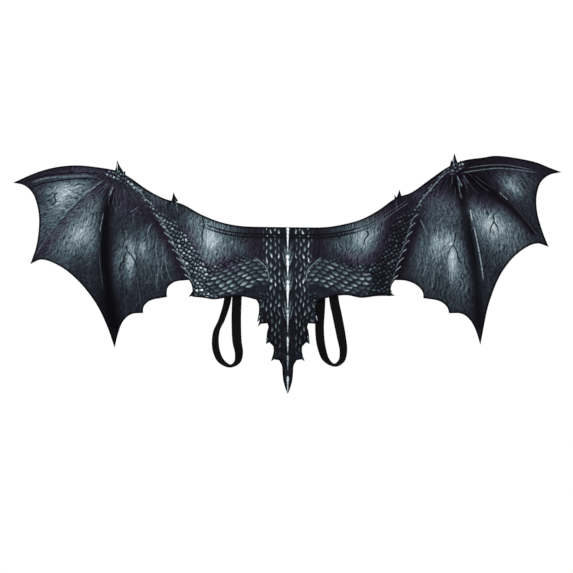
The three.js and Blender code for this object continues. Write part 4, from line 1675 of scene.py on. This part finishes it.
@dataclass
class Studio:
    """The camera straight before the printed face, a pale floor and soft light."""

    distance: float = 20.0
    sensor: float = 36.0
    floor_gap: float = 0.7
    floor_size: float = 60.0
    room_light: float = 1.02
    lamp_power: float = 26
    lamp_size: float = 2.4
    lamp_place: Sequence[float] = (-1.6, -2.6, 1.9)
    lamp_aim: Sequence[float] = (0, 0, -0.1)

    def camera(self) -> None:
        """Makes the camera, with the photograph's frame worked out from its pixels."""
        data = bpy.data.cameras.new("camera")
        data.sensor_width = self.sensor
        data.lens = self.sensor * self.distance / (PHOTO_SIDE * PHOTO_SCALE * MM)
        data.clip_end = 100
        camera = placed("camera", data)
        middle = PHOTO_SIDE / 2
        x = (middle - PHOTO_NAPE[0]) * PHOTO_SCALE * MM
        z = (PHOTO_NAPE[1] - middle) * PHOTO_SCALE * MM
        camera.location = (x, -self.distance, z)
        camera.rotation_euler = (math.pi / 2, 0, 0)
        bpy.context.scene.camera = camera

    def floor(self) -> None:
        """Lays the floor a little under the tail."""
        half = self.floor_size / 2
        level = CAD_BOX[0].z - self.floor_gap
        mesh = bpy.data.meshes.new("floor")
        corners = [(-half, -half, level), (half, -half, level), (half, half, level), (-half, half, level)]
        mesh.from_pydata(corners, [], [(0, 1, 2, 3)])
        mesh.materials.append(StudioFloor("studio_paper", 0.9, 0.1).material())
        placed("floor", mesh)

    def light(self) -> None:
        """Lights the piece from a white room and one wide lamp high on the left."""
        scene = bpy.context.scene
        scene.view_settings.view_transform = "Standard"
        world = bpy.data.worlds.new("white_room")
        world.use_nodes = True
        walls = world.node_tree.nodes["Background"].inputs
        walls["Color"].default_value = (1, 1, 1, 1)
        walls["Strength"].default_value = self.room_light
        scene.world = world
        lamp = bpy.data.lights.new("wide_lamp", "AREA")
        lamp.energy = self.lamp_power
        lamp.size = self.lamp_size
        holder = placed("wide_lamp", lamp)
        holder.location = self.lamp_place
        way = Vector(self.lamp_aim) - holder.location
        holder.rotation_euler = way.to_track_quat("-Z", "Y").to_euler()


@dataclass
class DragonWings:
    """The whole costume piece, built in the order in which it is sewn."""

    hem_rows: Sequence[float] = (19, 27)
    hem_half: float = 226
    tack_height: float = 20
    tack_inset: float = 3.5
    hem_back: float = 2.75
    proud: float = 0.05

    def neckline(self, outline: np.ndarray) -> np.ndarray:
        """The middle of the neckline, from left to right.

        Args:
            outline: Outline of the sheet.

        Returns:
            Points in millimetres, even along the line.
        """
        top = outline[(outline[:, 1] > -12) & (np.abs(outline[:, 0]) < self.hem_half + 24)]
        top = top[np.argsort(top[:, 0])]
        return curve_through(top[::2], 3.0)

    def rows_below(self, outline: np.ndarray) -> list[np.ndarray]:
        """The rows of the hem's stitches.

        Args:
            outline: Outline of the sheet.

        Returns:
            Flat points of each row.
        """
        line = self.neckline(outline)
        along = np.gradient(line, axis=0)
        along /= np.linalg.norm(along, axis=1)[:, None]
        down = np.column_stack((along[:, 1], -along[:, 0]))
        rows = [line + down * depth for depth in self.hem_rows]
        return [row[np.abs(row[:, 0]) < self.hem_half] for row in rows]

    def hem_stitches(self, sheet: FeltSheet, thread: bpy.types.Material) -> bpy.types.Object:
        """The twin rows along the neckline, on the printed face and on the hem behind it."""
        flat = self.rows_below(sheet.outline)
        rows = []
        for row in flat:
            depth = sheet.relief.depth(row)
            for face in (sheet.front - self.proud, self.hem_back):
                rows.append(np.column_stack((row[:, 0], depth + face, row[:, 1])))
        return Stitching("hem_stitches", pitch=4.4, stitch=3.6, thread=0.75).build(rows, thread)

    def loop_tacks(self, loop: ArmLoop, thread: bpy.types.Material) -> bpy.types.Object:
        """The sewn box with its cross on each of a loop's two ends."""
        route, _ = loop.route()
        rows = []
        for end in (route[0], route[-1]):
            half = loop.width / 2 - self.tack_inset
            top, bottom = end[2] - self.tack_inset, end[2] - self.tack_inset - self.tack_height
            back = end[1] + loop.thickness / 2 + self.proud
            corners = [(-half, top), (half, top), (half, bottom), (-half, bottom)]
            places = [(end[0] + x, back, z) for x, z in corners]
            for a, b in ((0, 1), (1, 2), (2, 3), (3, 0), (0, 2), (1, 3)):
                rows.append(np.linspace(places[a], places[b], 24))
        name = f"{loop.side.name.lower()}_loop_tacks"
        return Stitching(name, pitch=2.6, stitch=2.1, thread=0.6, seed=11).build(rows, thread)

    def build(self) -> None:
        """Builds and dresses every piece, sets each on the root body and hides the CAD parts."""
        felt = PlainFelt("black_felt", 0.95, 0.12).material()
        cut = PlainFelt("cut_felt", 0.97, 0.08, (9, 9, 11), (26, 26, 30)).material()
        hide = PrintedHide("printed_hide", 0.75, 0.03).material()
        elastic = WovenElastic("woven_elastic", 0.75, 0.05).material()
        thread = TwistedThread("twisted_thread", 0.6, 0.2).material()
        sheet = FeltSheet("printed_sheet", "wing_sheet", front=-1.0, thickness=2.0, front_step=2.7,
                          rear_step=6.5)
        rows = self.rows_below(sheet.outline)
        fingers = sheet.outline[np.abs(sheet.outline[:, 0]) > self.hem_half]
        drop = round(-float(fingers[:, 1].min()), 1)
        LOG.info("print stretched to a drop of %.1f mm", drop)
        layout = PrintLayout(CAD_BOX[1].x / MM, drop, stitch_rows=rows)
        printed = sheet.build((hide, felt, cut), rows, layout)
        hem = FeltSheet("neck_hem", "top_hem", front=1.3, thickness=1.4, front_step=4.0, rear_step=3.0)
        strip = hem.build((felt, felt, cut))
        stitches = self.hem_stitches(sheet, thread)
        loops = [ArmLoop(side) for side in Side]
        bands = [loop.build(elastic) for loop in loops]
        tacks = [self.loop_tacks(loop, thread) for loop in loops]
        for piece, slot in ((printed, "printed_felt"), (strip, "plain_felt"), (stitches, "plain_felt"),
                            *((piece, "elastic_webbing") for piece in (*bands, *tacks))):
            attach(piece, "root")
        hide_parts(sheet.node)
        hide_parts(hem.node)
        for loop, band, tack in zip(loops, bands, tacks):
            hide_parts(loop.node)
            loop.width * MM


def main() -> None:
    """Builds the studio and the wings."""
    logging.basicConfig(level=logging.INFO, format="%(message)s")
    studio = Studio()
    studio.camera()
    DragonWings().build()
    studio.floor()
    studio.light()


if __name__ == "__main__":
    main()
